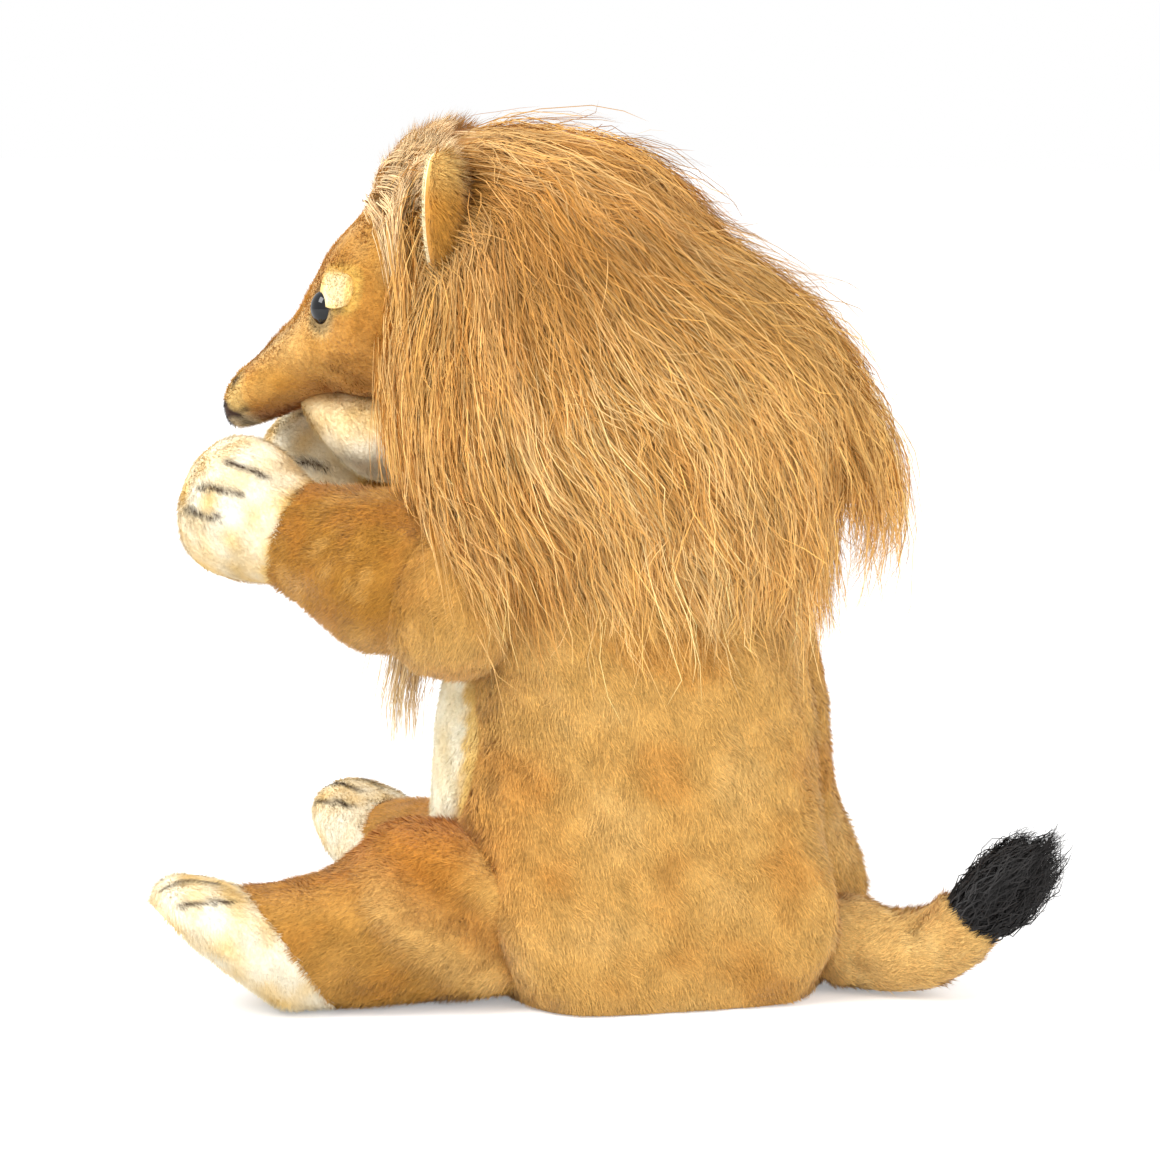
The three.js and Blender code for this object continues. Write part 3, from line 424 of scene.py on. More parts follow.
def belly_grid(outset):
    """The torso's front from one side of the panel to the other and from the hem to the chest,
    sunk at its side edges."""
    s = smoothed(TORSO, 120)
    z = s[:, 0] * TORSO_HEIGHT
    kept = (z > PANEL_LOW) & (z < PANEL_HIGH)
    s, z = s[kept], z[kept]
    t = np.linspace(0, 1, 60)
    out = outset - 1.6 * smoothstep(0.1, 0, np.minimum(t, 1 - t))
    half_x, half_y = (s[:, k, None] * w / 2 + out for k, w in ((2, TORSO_DEPTH), (3, TORSO_WIDTH)))
    middle = s[:, 1, None] * TORSO_DEPTH
    start = np.arccos(np.clip((PANEL_SIDE - 0.5 - middle) / half_x[:, 30:31], -1, 1))
    a = start + (2 * np.pi - 2 * start) * t
    return np.stack([middle + half_x * np.cos(a), half_y * np.sin(a), z[:, None] + 0 * a], -1)


def belly_colours(p):
    """Creamy white, sprayed yellow along the leaf's edge, with the sleeve's gold beyond."""
    edge = belly_edge(p)
    c = 1.12 * mix(WHITE, CREAM, np.clip(0.3 + 0.4 * drift(p, 16, 5), 0, 1))
    c = mix(c, YELLOW, 0.85 * smoothstep(8, 2.5, edge + 1.5 * drift(p, 9, 6)))
    return mix(c, 0.9 * sleeve_colours(p), smoothstep(0.8, -0.8, edge))


surface = slab(belly_grid(0.6), belly_grid(-0.6))
belly = made("belly_cloth", surface, cream_plush[0], belly_colours(surface[0]))
carried(belly, "root", "plush_cream", "belly_panel")
thigh = lambda p: np.stack([(p[:, 0] + 51) / 30, (np.abs(p[:, 1]) - 46) / 30, (p[:, 2] - 26) / 29])
in_thigh = lambda p: (thigh(p) ** 2).sum(0) < 1
in_view = lambda p: in_leaf(p) & (p[:, 2] > 24) & ~in_thigh(p)
places, ways = scattered(outer, 0.5, 12, in_view)
places += ways * 1.3 * smoothstep(PANEL_SIDE, PANEL_SIDE - 8, places[:, :1])
nap("belly_nap", places, ways, (0, 0, -1), 2.6, belly_colours, cream_plush, "root", seed=22,
    mottle=0.1, roll=0.35)

# The hem and the lining: the sleeve's edge is bound with a strip of tan tricot, and a glove
# of the same knit is sewn in above it, so that the hand slides in.
KNIT_MM = 1.2
TAN = linear(0xB08C58)
WAVE_SCALE = 1000 / KNIT_MM / 20
tricot, tree, surface = new_surface("brushed_tricot_knit", Roughness=0.85, Sheen_Weight=0.1)
place = add(tree, "ShaderNodeTexCoord", {})
wales = add(tree, "ShaderNodeTexWave",
            {"Vector": place.outputs["Object"], "Scale": WAVE_SCALE, "Distortion": 1.5},
            bands_direction="Z")
tint(tree, surface, tuple(TAN), wales.outputs["Fac"], {"To Min": 0.75, "To Max": 1.0})
emboss(tree, surface, wales.outputs["Fac"], 0.4, 0.0005)


LINING_BACK = 58


def lining_tube(name, inset, thickness, low, high, node):
    """A tube of cloth inside the sleeve between two heights. It doesn't follow the sleeve out
    into the haunches."""
    walls = []
    for gap in (inset, inset + thickness):
        wall = torso_rings(gap, 190)
        wall = wall[(wall[:, 0, 2] > low) & (wall[:, 0, 2] < high)]
        wall[..., 0] = np.minimum(wall[..., 0], LINING_BACK - gap)
        walls.append(wall)
    tube = made(name, skin(np.concatenate([walls[0], walls[1][::-1]]), loop=True), tricot)
    return carried(tube, "root", "lining_cloth", node)


hem = lining_tube("hem_binding", 3.4, 2, 0.5, 9, "hem_band")
lining = lining_tube("glove_tube", 3.8, 1.2, 9.5, 92, "glove_lining")

# The neck: gathered plush between head and shoulders, hidden by the mane, on which the head
# turns and nods.
NECK = np.array([-39.0, 0, 178])
NECK_RADIUS = 34


def ball(middle, radii, rows=40, sides=56):
    """Rings of a stretched ball from its lower to its upper pole."""
    a = np.linspace(0.02, np.pi - 0.02, rows)
    middles = np.asarray(middle, float) - np.cos(a)[:, None] * [0, 0, radii[2]]
    round_z = np.sin(a)[:, None]
    return rings_of(middles, round_z * [radii[0], 0, 0], round_z * [0, radii[1], 0], sides)


rings = ball(NECK, (NECK_RADIUS - 0.4,) * 3)
gathers = np.arctan2(rings[..., 1], rings[..., 0] - NECK[0])
rings[..., :2] += (rings[..., :2] - NECK[:2]) * 0.02 * np.cos(14 * gathers)[..., None]
stuffed("neck_cloth", rings, golden_plush, sleeve_colours, "neck", ["neck_sleeve"], tone=0.75)

# The head: a stuffed form of short-napped plush, long in the muzzle, with brow, cheeks and
# whisker pads drawn out by the filling, and the colours of the face sprayed on by hand.
HEAD_LENGTH, HEAD_WIDTH, HEAD_HEIGHT, HEAD_BACK, SKULL_HEIGHT = 108, 78, 78, 28, 223
# Place along the head, top and bottom off the skull's middle, and half width, as shares.
HEAD = [
    [0.03, 0.38, -0.42, 0.5], [0.1, 0.7, -0.74, 0.77], [0.21, 0.92, -0.9, 0.92], [0.35, 1, -1, 1],
    [0.47, 0.84, -0.97, 0.97], [0.556, 0.62, -0.95, 0.9], [0.64, 0.355, -0.92, 0.77],
    [0.72, -0.012, -0.97, 0.65], [0.8, -0.31, -1.07, 0.61], [0.87, -0.52, -1.15, 0.6],
    [0.925, -0.66, -1.2, 0.56], [0.958, -0.76, -1.21, 0.48], [0.972, -0.87, -1.16, 0.3]]
EYE = np.array([-94.0, 28.2, 217.5])
EYE_RADIUS = 5.7
# The lid's middle behind and above the eye's, and half of its width and height.
LID_AT, LID_HALF = (7.4, 6.2), (7.2, 5.8)
EYE_OUT = np.array([-math.sin(math.radians(47)), math.cos(math.radians(47)), 0])
EYE_BACK = np.array([EYE_OUT[1], -EYE_OUT[0], 0])
FACE, RUST, NOSE_BROWN, EYE_RIM = (linear(c) for c in (0xD2983F, 0xB36F1D, 0x4A2C18, 0xEFD592))
# Middle, breadth and rise of each mound: brow, cheek, whisker pad, the dents round the eye and
# along the side of the nose, and the swell under the eye.
FACE_MOUNDS = [(-88, 24, 232, 9, 2.2), (-74, 36, 206, 15, 1.8), (-122, 19, 190, 9, 1.8),
               (-98, 27, 217, 9, -1.6), (-109, 17, 214, 8, -2.2), (-103, 30, 200, 12, 0.6)]
WHISKER_DOTS = [[-126, 20.5, 180], [-128, 18.5, 176.5], [-124, 21.5, 183.5], [-120, 22, 181],
                [-123, 21, 177]]
mirrored = lambda p: np.stack([p[..., 0], np.abs(p[..., 1]), p[..., 2]], -1)


def head_rings(inset, count=110, sides=104):
    """Head stations as upright rings, to which the face's soft mounds and dents are added, each
    a bell over its distance."""
    s = smoothed(HEAD, count)
    zero, half = np.zeros(count), HEAD_HEIGHT / 2
    middle = SKULL_HEIGHT + half * (s[:, 1] + s[:, 2]) / 2
    middles = np.stack([-HEAD_BACK - s[:, 0] * HEAD_LENGTH, zero, middle], -1)
    across = np.stack([zero, s[:, 3] * HEAD_WIDTH / 2 - inset, zero], -1)
    upright = np.stack([zero, zero, half * (s[:, 1] - s[:, 2]) / 2 - inset], -1)
    rings = rings_of(middles, across, upright, sides, 2.15)
    way = unit(rings - middles[:, None])
    q = mirrored(rings)
    for x, y, z, wide, rise in FACE_MOUNDS:
        mound = np.exp(-((q - [x, y, z]) ** 2).sum(-1) / wide**2)
        rings = rings + way * (rise * mound)[..., None]
    return rings


def head_colours(p):
    """Golden face: rusty by the eyes, on the cheeks and along the lip, straw along the bridge
    (partly its own pale tan and partly painted light against the shade at its edges), umber
    down its sides, a yellow patch behind the eye's lid, a pale rim under the eye and a dark ring
    and crease round it. The muzzle's end is yellow and white, with a brown nose, its parting,
    nostrils and whisker dots."""
    q = mirrored(p)
    x, y, z = q.T
    cloud = drift(p, 18, 8)
    c = mix(FACE, GOLD, smoothstep(0, 1.5, cloud) * 0.6)
    near = lambda at, wide: np.exp(-((q - at) ** 2).sum(-1) / wide**2)
    c = mix(c, RUST, np.clip(0.5 * near([-84, 30, 222], 12) + 0.45 * near([-70, 38, 205], 16), 0, 0.85))
    # Straw on the bridge and brow: their own pale tan, and also painted light against shade.
    c = mix(c, STRAW, 0.75 * smoothstep(31, 17, y) * smoothstep(192, 204, z))
    lip = smoothstep(190, 180, z) * smoothstep(-131, -125, x)
    c = mix(c, RUST, 0.7 * lip)
    fold = np.exp(-(((z - 199 - 0.62 * (x + 125)) / 3) ** 2)) * (y < 19)
    fold = fold * smoothstep(-134, -128, x) * smoothstep(-98, -106, x)
    c = mix(c, UMBER, 0.35 * fold)
    off = q - EYE
    back, above, side = off @ EYE_BACK, off[:, 2], y > 12
    square = (np.abs((back - LID_AT[0]) / 8.2) ** 3 + np.abs((above - LID_AT[1]) / 7.2) ** 3) ** (1 / 3)
    c = mix(c, YELLOW, 0.75 * smoothstep(1.3, 0.95, square) * side)
    rim = smoothstep(1.25, 0.7, np.hypot(back / 7, (above + 1.5) / 8.2))
    c = mix(c, EYE_RIM, 0.6 * rim * side * (above < 0))
    crease = np.exp(-((above + 0.4) / 0.8) ** 2)
    crease = crease * smoothstep(1, 3, off[:, 0]) * smoothstep(9.5, 7, off[:, 0])
    ring = smoothstep(1.55, 1.05, np.hypot(back / 5, above / 6.2))
    c = mix(c, NOSE_BROWN, np.clip(0.8 * crease + 0.55 * ring, 0, 0.85) * side)
    end = smoothstep(-121, -126, x + 0.12 * (z - 186))
    c = mix(c, YELLOW, 0.9 * end)
    c = mix(c, WHITE, end * (0.15 + 0.5 * smoothstep(184, 180, z)))
    leather = smoothstep(1.5, -1.5, y - np.minimum(20.8, 11 + 2.4 * (z - 178)))
    leather = leather * smoothstep(187, 185, z) * smoothstep(177, 179, z)
    parting = np.exp(-((y / 1.1) ** 2)) * smoothstep(171, 174, z) * smoothstep(182, 179, z)
    front = smoothstep(-124.5, -127.5, x) * (leather + 0.7 * parting)
    nostril = 0.9 * near([-127.5, 19.5, 193], 2.3)
    dots = sum(near(at, 1.5) for at in WHISKER_DOTS)
    return mix(c, NOSE_BROWN, np.clip(1.2 * front + nostril + dots, 0, 1))


face = head_rings(0.8)
stuffed("head_cloth", face, golden_plush, head_colours, "head", ["head_skin", "nose"], tone=0.9)
from_eye = lambda p: np.linalg.norm((mirrored(p) - EYE) * [1, 1, 0.85], axis=-1)
away_from_eyes = lambda p: (from_eye(p) > 5.4) & (p[:, 0] < -62)
places, ways = scattered(face, 0.42, 13, away_from_eyes)
brushed_back = lambda p: np.stack(
    [np.ones(len(p)), 0.25 * np.sign(p[:, 1]), 0.25 - 0.5 * (p[:, 2] < 205)], -1)
nap("face_nap", places, ways, brushed_back, 2.2, head_colours, golden_plush, "head", seed=23,
    lay=0.8, width=0.34, mottle=0.45, roll=0.5)

# The eyes: domed near-black plastic buttons, polished, with a shank through the cloth, and a
# square of short cream plush with round corners, sewn on above and behind each as its lid.
SIDES = (("left", -1), ("right", 1))


def toned(name, colour, roughness, grain_mm, depth=0.15, raised=0.2, **surface_values):
    """A plain surface whose tone and height vary a little over grain_mm."""
    material, tree, surface = new_surface(name, Roughness=roughness, **surface_values)
    grain = noise(tree, 1000 / grain_mm, 3.0)
    tint(tree, surface, tuple(linear(colour)), grain, {"To Min": 1 - depth, "To Max": 1 + depth})
    emboss(tree, surface, grain, raised, 0.0004)
    return material


def facing(rings, middle, way):
    """Rings about Z turned so that +Z points along way, and moved to a middle."""
    way = unit(np.asarray(way, float))
    u = unit(np.cross([0.02, 1, 0.03], way))
    return middle + rings @ np.stack([u, np.cross(way, u), way])


def lid_grid(lift, rows=28):
    """A square with bowed sides above and behind the eye, laid on the head and lift above it:
    each point goes as far out as the face's own points near it, weighed by a bell. The lens
    stands through its lower front corner."""
    u, v = np.meshgrid(*(np.linspace(-1, 1, rows),) * 2)
    u, v = u * np.sqrt(1 - 0.42 * v**2), v * np.sqrt(1 - 0.42 * u**2)
    u, v = LID_AT[0] + LID_HALF[0] * u, LID_AT[1] + LID_HALF[1] * v
    axes = np.stack([EYE_BACK, [0, 0, 1.0], EYE_OUT])
    head = (face[face[..., 1] > 8] - EYE) @ axes.T
    head = head[np.abs(head[:, 2]) < 14]
    flat = np.stack([u.ravel(), v.ravel()], -1)
    near = ((flat[:, None] - head[None, :, :2]) ** 2).sum(-1)
    weight = np.exp(-near / 1.5)
    out = (weight * head[:, 2]).sum(1) / weight.sum(1) + lift
    return (EYE + np.column_stack([flat, out]) @ axes).reshape(rows, rows, 3)


eye_gloss = toned("polished_eye_plastic", 0x06080C, 0.06, 3, 0.05, 0,
                  Specular_IOR_Level=0.35, Coat_Weight=0.2, Coat_Roughness=0.02)
LID_TUFTS = 1100
for name, side in SIDES:
    centre, out = EYE * [1, side, 1], EYE_OUT * [1, side, 1]
    lens = ball((0, 0, 0), (EYE_RADIUS, 5.0, 4.4), 30, 44)
    surface = skin(facing(lens.reshape(-1, 3), centre, out).reshape(lens.shape))
    carried(made(f"eye_button_{name}", surface, eye_gloss), "head", "eye_plastic", f"eye_{name}")
    front, back = lid_grid(1.0) * [1, side, 1], lid_grid(-0.5) * [1, side, 1]
    points, faces = slab(front, back)
    middle = EYE + EYE_BACK * LID_AT[0] + [0, 0, LID_AT[1]]
    from_middle = lambda p: np.maximum(np.abs((mirrored(p) - middle) @ EYE_BACK),
                                       np.abs(p[:, 2] - middle[2]))
    lid_colours = lambda p: mix(CREAM, YELLOW, 0.7 * smoothstep(3.4, 6.4, from_middle(p)))
    lid = made(f"lid_cloth_{name}", (points, faces), cream_plush[0], lid_colours(points))
    carried(lid, "head", "plush_cream", f"eyelid_{name}")
    rng = np.random.default_rng(31)
    places = front.reshape(-1, 3)[rng.integers(front.size // 3, size=LID_TUFTS)]
    places = places + rng.normal(0, 0.15, (LID_TUFTS, 3))
    places = places[from_eye(places) > EYE_RADIUS + 0.7]
    nap(f"lid_nap_{name}", places, np.broadcast_to(out, places.shape), (0.6, 0, 0.6), 1.5,
        lid_colours, cream_plush, "head", seed=32, lay=0.85, width=0.4, mottle=0.15, roll=0.4)

# The jaw: a cream chin and lower lip sewn under the muzzle, yellow along the lip.
LIP_HEIGHT, JAW_FRONT, JAW_LENGTH, JAW_WIDTH, JAW_DEPTH = 187, -110.08, 52, 42, 27
JAW = [[0, -0.02, 0.1, 0.3], [0.12, -0.1, 0.45, 0.6], [0.26, -0.1, 0.75, 0.8], [0.42, -0.1, 0.96, 0.94],
       [0.62, -0.1, 1, 1], [0.82, -0.1, 0.9, 1], [1, -0.05, 0.6, 0.72]]


def jaw_colours(p):
    """White under the chin, straw yellow near the lip and at the corner of the mouth, all of it
    1.08 times brighter as painted light against the shade under the muzzle.
    """
    lip = smoothstep(172, 184, p[:, 2]) + 0.5 * smoothstep(-80, -66, p[:, 0])
    # Painted light: the factor 1.08 lifts the jaw against the shade under the muzzle.
    return 1.08 * mix(WHITE, YELLOW, np.clip(0.1 + 0.5 * lip + 0.15 * drift(p, 14, 6), 0, 0.7))


JAW_NAP_ROOM = 0.4
s = smoothed(JAW, 50)
zero, middle = np.zeros(50), LIP_HEIGHT - (s[:, 1] + s[:, 2]) / 2 * JAW_DEPTH
jaw_rings = rings_of(
    np.stack([JAW_FRONT + s[:, 0] * JAW_LENGTH, zero, middle], -1),
    np.stack([zero, s[:, 3] * JAW_WIDTH / 2 + JAW_NAP_ROOM, zero], -1),
    np.stack([zero, zero, (s[:, 2] - s[:, 1]) / 2 * JAW_DEPTH + JAW_NAP_ROOM], -1), 70)
stuffed("jaw_cloth", jaw_rings, cream_plush, jaw_colours, "head", ["jaw_panel"])
places, ways = scattered(jaw_rings, 0.5, 33, lambda p: p[:, 2] < LIP_HEIGHT + 1)
nap("jaw_nap", places, ways, (1, 0, -0.5), 2.4, jaw_colours, cream_plush, "head", seed=34,
    lay=0.8, width=0.4, mottle=0.12, roll=0.4)

# The ears: cupped leaves of golden plush, darker behind, with a pale lining and a cream edge
# that faces forwards.
EAR = np.array([-51.0, 38, 246.5])
EAR_RADII = np.array([7.5, 14.0, 22])
EAR_LEAN = math.radians(16)
EAR_GOLD, EAR_TOP, EAR_CREAM = (linear(c) for c in (0xC98C34, 0xE9BD6A, 0xF6E6BC))


def ear_place(p, side):
    """Points about an ear's middle leaned outwards and moved to their side of the head."""
    c, n = math.cos(EAR_LEAN), math.sin(EAR_LEAN) * side
    x, y, z = np.moveaxis(p, -1, 0)
    return np.stack([x, c * y + n * z, c * z - n * y], -1) + EAR * [1, side, 1]


def ear_rings(radii, shift, from_degrees, to_degrees, rows):
    """Rings about X of a leaf from one polar angle to another, 0 being the back."""
    a = np.radians(np.linspace(from_degrees, to_degrees, rows))
    zero = 0 * a
    return rings_of(np.stack([shift + radii[0] * np.cos(a), zero, zero], -1),
                    np.stack([zero, radii[1] * np.sin(a), zero], -1),
                    np.stack([zero, zero, radii[2] * np.sin(a)], -1), 64)


for name, side in SIDES:
    back = ear_place(ear_rings(EAR_RADII, 0, 2, 108, 40), side)
    cup = ear_place(ear_rings(np.array([4.6, 12.4, 20.4]), -2.3, 88, 2, 26), side)
    # Golden, lighter at the top, with umber at the base as painted shade where the ear meets the mane.
    ear_colours = lambda p: mix(mix(EAR_GOLD, EAR_TOP, smoothstep(252, 266, p[:, 2])),
                                UMBER, 0.8 * smoothstep(238, 226, p[:, 2]))
    stuffed(f"ear_cloth_{name}", np.concatenate([back, cup]), golden_plush, ear_colours, "head",
            [f"ear_{name}"], tone=0.9)
    places, ways = scattered(back[:36], 0.42, 35)
    nap(f"ear_nap_{name}", places, ways, (0.6, 0, -0.8), 4.2, ear_colours, golden_plush, "head",
        seed=36, lay=0.5, width=0.34, mottle=0.9)
    lining_front = ear_place(ear_rings(np.array([4.4, 13.3, 21.4]), -3.3, 89, 2, 30), side)
    from_ear = lambda p: np.linalg.norm(p - EAR * [1, side, 1], axis=-1)
    # Painted shade: the lining is darker towards the middle of the cup.
    pale = lambda p: EAR_CREAM * (0.8 + 0.2 * smoothstep(0, 9, from_ear(p)))[:, None]
    points, faces = skin(np.concatenate([lining_front, (lining_front + [0.8, 0, 0])[::-1]]))
    inside = made(f"ear_inside_{name}", (points, faces), cream_plush[0], pale(points))
    carried(inside, "head", "plush_cream", f"ear_lining_{name}")
    places, ways = scattered(lining_front[:4], 0.3, 37)
    nap(f"ear_edge_nap_{name}", places, unit(ways * 0.2 + [-1, 0, 0]), (-0.2, 0, 1), 1.6, pale,
        cream_plush, "head", seed=38, lay=0.5, width=0.36, mottle=0.2)

# The forelegs: a gathered gusset lets each turn at the shoulder; the sleeve of the leg swells
# over the elbow and narrows to a seam at the wrist, where the cream paw begins.
SHOULDER = np.array([-47.0, 42, 128])
SHOULDER_RADIUS, ARM_LENGTH, ARM_RADIUS, WRIST = 25.5, 58, 25.5, 17
PAW_LENGTH, PAW_WIDE, PAW_TALL = 39, 19, 22.5
# The far paw is held a little higher than the near one.
NEAR_PAW_RAISED, FAR_PAW_RAISED = 0.5, 4.5
ARM = [[0, 0.7 * ARM_RADIUS], [0.12, 0.8 * ARM_RADIUS], [0.24, 0.92 * ARM_RADIUS], [0.37, ARM_RADIUS],
       [0.51, 25.2], [0.68, 22.1], [0.85, 19], [1, WRIST]]
PAW = [[0, 0.86, 0.756, 0], [0.14, 0.93, 0.84, 0.3], [0.36, 1, 0.97, 0.8], [0.6, 1, 1, 1],
       [0.8, 0.86, 0.86, 1], [0.94, 0.56, 0.55, 1], [1, 0.2, 0.2, 1]]
ARM_PITCH, TOE_IN = math.radians(18), math.radians(6)
TOE_LINE = linear(0x3A2418)


def arm_axes(side):
    """Along, across and up from a foreleg that is pitched up and toed in."""
    level = math.cos(ARM_PITCH)
    along = np.array([-level * math.cos(TOE_IN), -side * level * math.sin(TOE_IN), math.sin(ARM_PITCH)])
    across = unit(np.cross(along, [0, 0, 1]))
    return along, across, np.cross(across, along)


def limb(middle, along, across, up, table, count, sides=72):
    """Rings round a limb: distance, half width, half height and lift at each station."""
    s = smoothed(table, count)
    middles = middle + s[:, :1] * along + s[:, 3:4] * up
    return rings_of(middles, s[:, 1:2] * across, s[:, 2:3] * up, sides)


def arm_colours(p):
    """Rusty gold, deepest on top and at the wrist, paler under the elbow."""
    cloud = drift(p, 22, 41) + 0.5 * drift(p, 8, 42)
    base = mix(AMBER, GOLD, 0.4 * smoothstep(0.2, 1.4, -cloud))
    base = mix(base, RUST, 0.4 * smoothstep(0.1, 1.3, cloud))
    base = mix(base, GOLD, 0.8 * smoothstep(-66, -38, p[:, 0]))
    return mix(base, 0.7 * GOLD + 0.3 * STRAW, 0.75 * smoothstep(128, 106, p[:, 2]))


# Toe lines: where each starts and ends along the limb, its place round the limb in degrees
# from the outer side, and how much it drops towards the tip.
PAW_TOES = [(17, 33, 4, 8), (13, 30, 28, 7), (9, 26, 52, 6), (12, 30, 110, -6), (12, 30, 150, -6)]
FOOT_TOES = [(66, 86, 50, 4), (70, 90, 78, 2), (70, 90, 104, -2), (66, 86, 130, -4)]


def stripes(along, turn, lines, width=2.8):
    """How near points lie to any toe line, 1 on it, fading where it starts."""
    mark = 0
    for start, end, place, drop in lines:
        share = np.clip((along - start) / (end - start), 0, 1)
        line = np.exp(-(((turn - place + drop * share) / width) ** 2))
        line = line * smoothstep(start - 1, start + 3, along) * smoothstep(end + 1, end - 2, along)
        mark = np.maximum(mark, line)
    return mark


for name, side in SIDES:
    shoulder = SHOULDER * [1, side, 1]
    along, across, up = arm_axes(side)
    rings = ball(shoulder, (SHOULDER_RADIUS - 0.4,) * 3)
    stuffed(f"gusset_cloth_{name}", rings, golden_plush, arm_colours, f"shoulder_{name}",
            [f"shoulder_gusset_{name}"], tone=0.95)
    places, ways = scattered(rings, 0.5, 51, lambda p: (p - shoulder) @ along < 12)
    nap(f"gusset_nap_{name}", places, ways, (-0.4, 0, -1), 3.2, arm_colours, golden_plush,
        f"shoulder_{name}", seed=52)

    table = np.array([[d * ARM_LENGTH, 0.96 * r, r, 0] for d, r in ARM])
    rings = limb(shoulder, along, across, up, table, 60)
    stuffed(f"foreleg_cloth_{name}", rings, golden_plush, arm_colours, f"foreleg_{name}",
            [f"foreleg_sleeve_{name}"], tone=0.95)
    clear = lambda p: np.linalg.norm(p - shoulder, axis=-1) > SHOULDER_RADIUS - 1
    places, ways = scattered(rings, 0.5, 53, clear)
    nap(f"foreleg_nap_{name}", places, ways, along * 0.6 + [0, 0, -0.8], 3.2, arm_colours,
        golden_plush, f"foreleg_{name}", seed=54)

    raised = FAR_PAW_RAISED if side > 0 else NEAR_PAW_RAISED
    table = np.array([[ARM_LENGTH + 0.3 + d * PAW_LENGTH, w * PAW_WIDE, h * (PAW_TALL + raised / 2),
                       lift + raised * smoothstep(0, 0.4, d)] for d, w, h, lift in PAW])
    rings = limb(shoulder, along, across, up, table, 60)
    outward = np.cross(up, along) * (1 if np.cross(up, along)[1] * side > 0 else -1)

    def paw_colours(p, shoulder=shoulder, along=along, up=up, outward=outward):
        """Cream and white, yellow below, at the tip and round the wrist, with dark toe lines."""
        off = p - shoulder
        d = off @ along - ARM_LENGTH
        turn = np.degrees(np.arctan2(off @ up / PAW_TALL, off @ outward / PAW_WIDE))
        low = smoothstep(2, -18, off @ up)
        edge = smoothstep(5, 0, d) + 0.45 * smoothstep(30, 39, d) + 0.5 * low
        c = mix(WHITE, YELLOW, np.clip(0.16 + 0.65 * edge + 0.2 * drift(p, 13, 61), 0, 0.8))
        return mix(c, TOE_LINE, stripes(d, turn, PAW_TOES))

    stuffed(f"forepaw_cloth_{name}", rings, cream_plush, paw_colours, f"foreleg_{name}",
            [f"forepaw_{name}"])
    places, ways = scattered(rings, 0.48, 55)
    nap(f"forepaw_nap_{name}", places, ways, -0.7 * along + [0, 0, -0.5], 2.4, paw_colours,
        cream_plush, f"foreleg_{name}", seed=56, lay=0.78, width=0.36, mottle=0.1, roll=0.35)

# The hind legs: stuffed and sewn to the sleeve's sides, splayed forwards on the floor, with a
# cream paw sewn on along a slanting seam.
HIP = np.array([-51.0, 46, 30])
LEG_LENGTH, THIGH_HEIGHT, FOOT_HEIGHT, THIGH_HALF = 92.5, 59, 43.5, 29
FLOOR_REST = 0.5
LEG_SPLAY = math.radians(28)
SEAM_ROW = [0.383 * LEG_LENGTH, FLOOR_REST, 0.68 * LEG_LENGTH, 0.885 * FOOT_HEIGHT, 0.71]
THIGH = [[-0.42 * LEG_LENGTH, 0.12 * THIGH_HEIGHT, -0.42 * LEG_LENGTH, 0.6 * THIGH_HEIGHT, 0.62],
         [-0.3 * LEG_LENGTH, 0.06 * THIGH_HEIGHT, -0.34 * LEG_LENGTH, 0.7 * THIGH_HEIGHT, 0.78],
         [-0.15 * LEG_LENGTH, 0.03 * THIGH_HEIGHT, -0.19 * LEG_LENGTH, 0.88 * THIGH_HEIGHT, 0.92],
         [0, 0.02 * THIGH_HEIGHT, 0, 0.97 * THIGH_HEIGHT, 0.97],
         [0.15 * LEG_LENGTH, 0.02 * THIGH_HEIGHT, 0.17 * LEG_LENGTH, 0.95 * THIGH_HEIGHT, 0.95],
         [0.255 * LEG_LENGTH, FLOOR_REST, 0.36 * LEG_LENGTH, 0.74 * THIGH_HEIGHT, 0.86],
         [0.35 * LEG_LENGTH, FLOOR_REST, 0.53 * LEG_LENGTH, 0.92 * FOOT_HEIGHT, 0.76], SEAM_ROW]
FOOT = [SEAM_ROW, [0.468 * LEG_LENGTH, FLOOR_REST, 0.787 * LEG_LENGTH, 0.965 * FOOT_HEIGHT, 0.75],
        [0.553 * LEG_LENGTH, 0.02 * FOOT_HEIGHT, 0.894 * LEG_LENGTH, FOOT_HEIGHT, 0.75],
        [0.7 * LEG_LENGTH, 0.25 * FOOT_HEIGHT, 0.968 * LEG_LENGTH, 0.94 * FOOT_HEIGHT, 0.67],
        [0.87 * LEG_LENGTH, 0.55 * FOOT_HEIGHT, LEG_LENGTH, 0.83 * FOOT_HEIGHT, 0.41]]


off_floor = lambda p: p[:, 2] > 1.2


def haunch_fold(p):
    """How near points lie to the fold that runs from the thigh's top down and back to the hem,
    and to the hollow above it, 1 on each."""
    over = (p[..., 0] + 58) * 0.69 + (p[..., 2] - 36) * 0.72
    reach = smoothstep(-74, -58, p[..., 0]) * smoothstep(58, 44, p[..., 2])
    return reach * np.exp(-((over / 6.5) ** 2)), reach * np.exp(-(((over - 12) / 6) ** 2))


def leg_rings(side, along, table, count, sides=76):
    """Rings that lean with the paw's seam, flattened where they rest on the floor."""
    across = np.cross([0, 0, 1.0], along)
    hip = HIP * [1, side, 0]
    s = smoothed(table, count)
    low = hip + s[:, :1] * along + s[:, 1:2] * [0, 0, 1]
    high = hip + s[:, 2:3] * along + s[:, 3:4] * [0, 0, 1]
    rings = rings_of((low + high) / 2, s[:, 4:5] * THIGH_HALF * across, (high - low) / 2, sides, 2.1)
    on_fold, above = haunch_fold(rings)
    rings[..., 1] += side * (4.0 * on_fold - 4.5 * above) * smoothstep(48, 58, rings[..., 1] * side)
    rings[..., 2] = np.maximum(rings[..., 2], FLOOR_REST)
    return rings


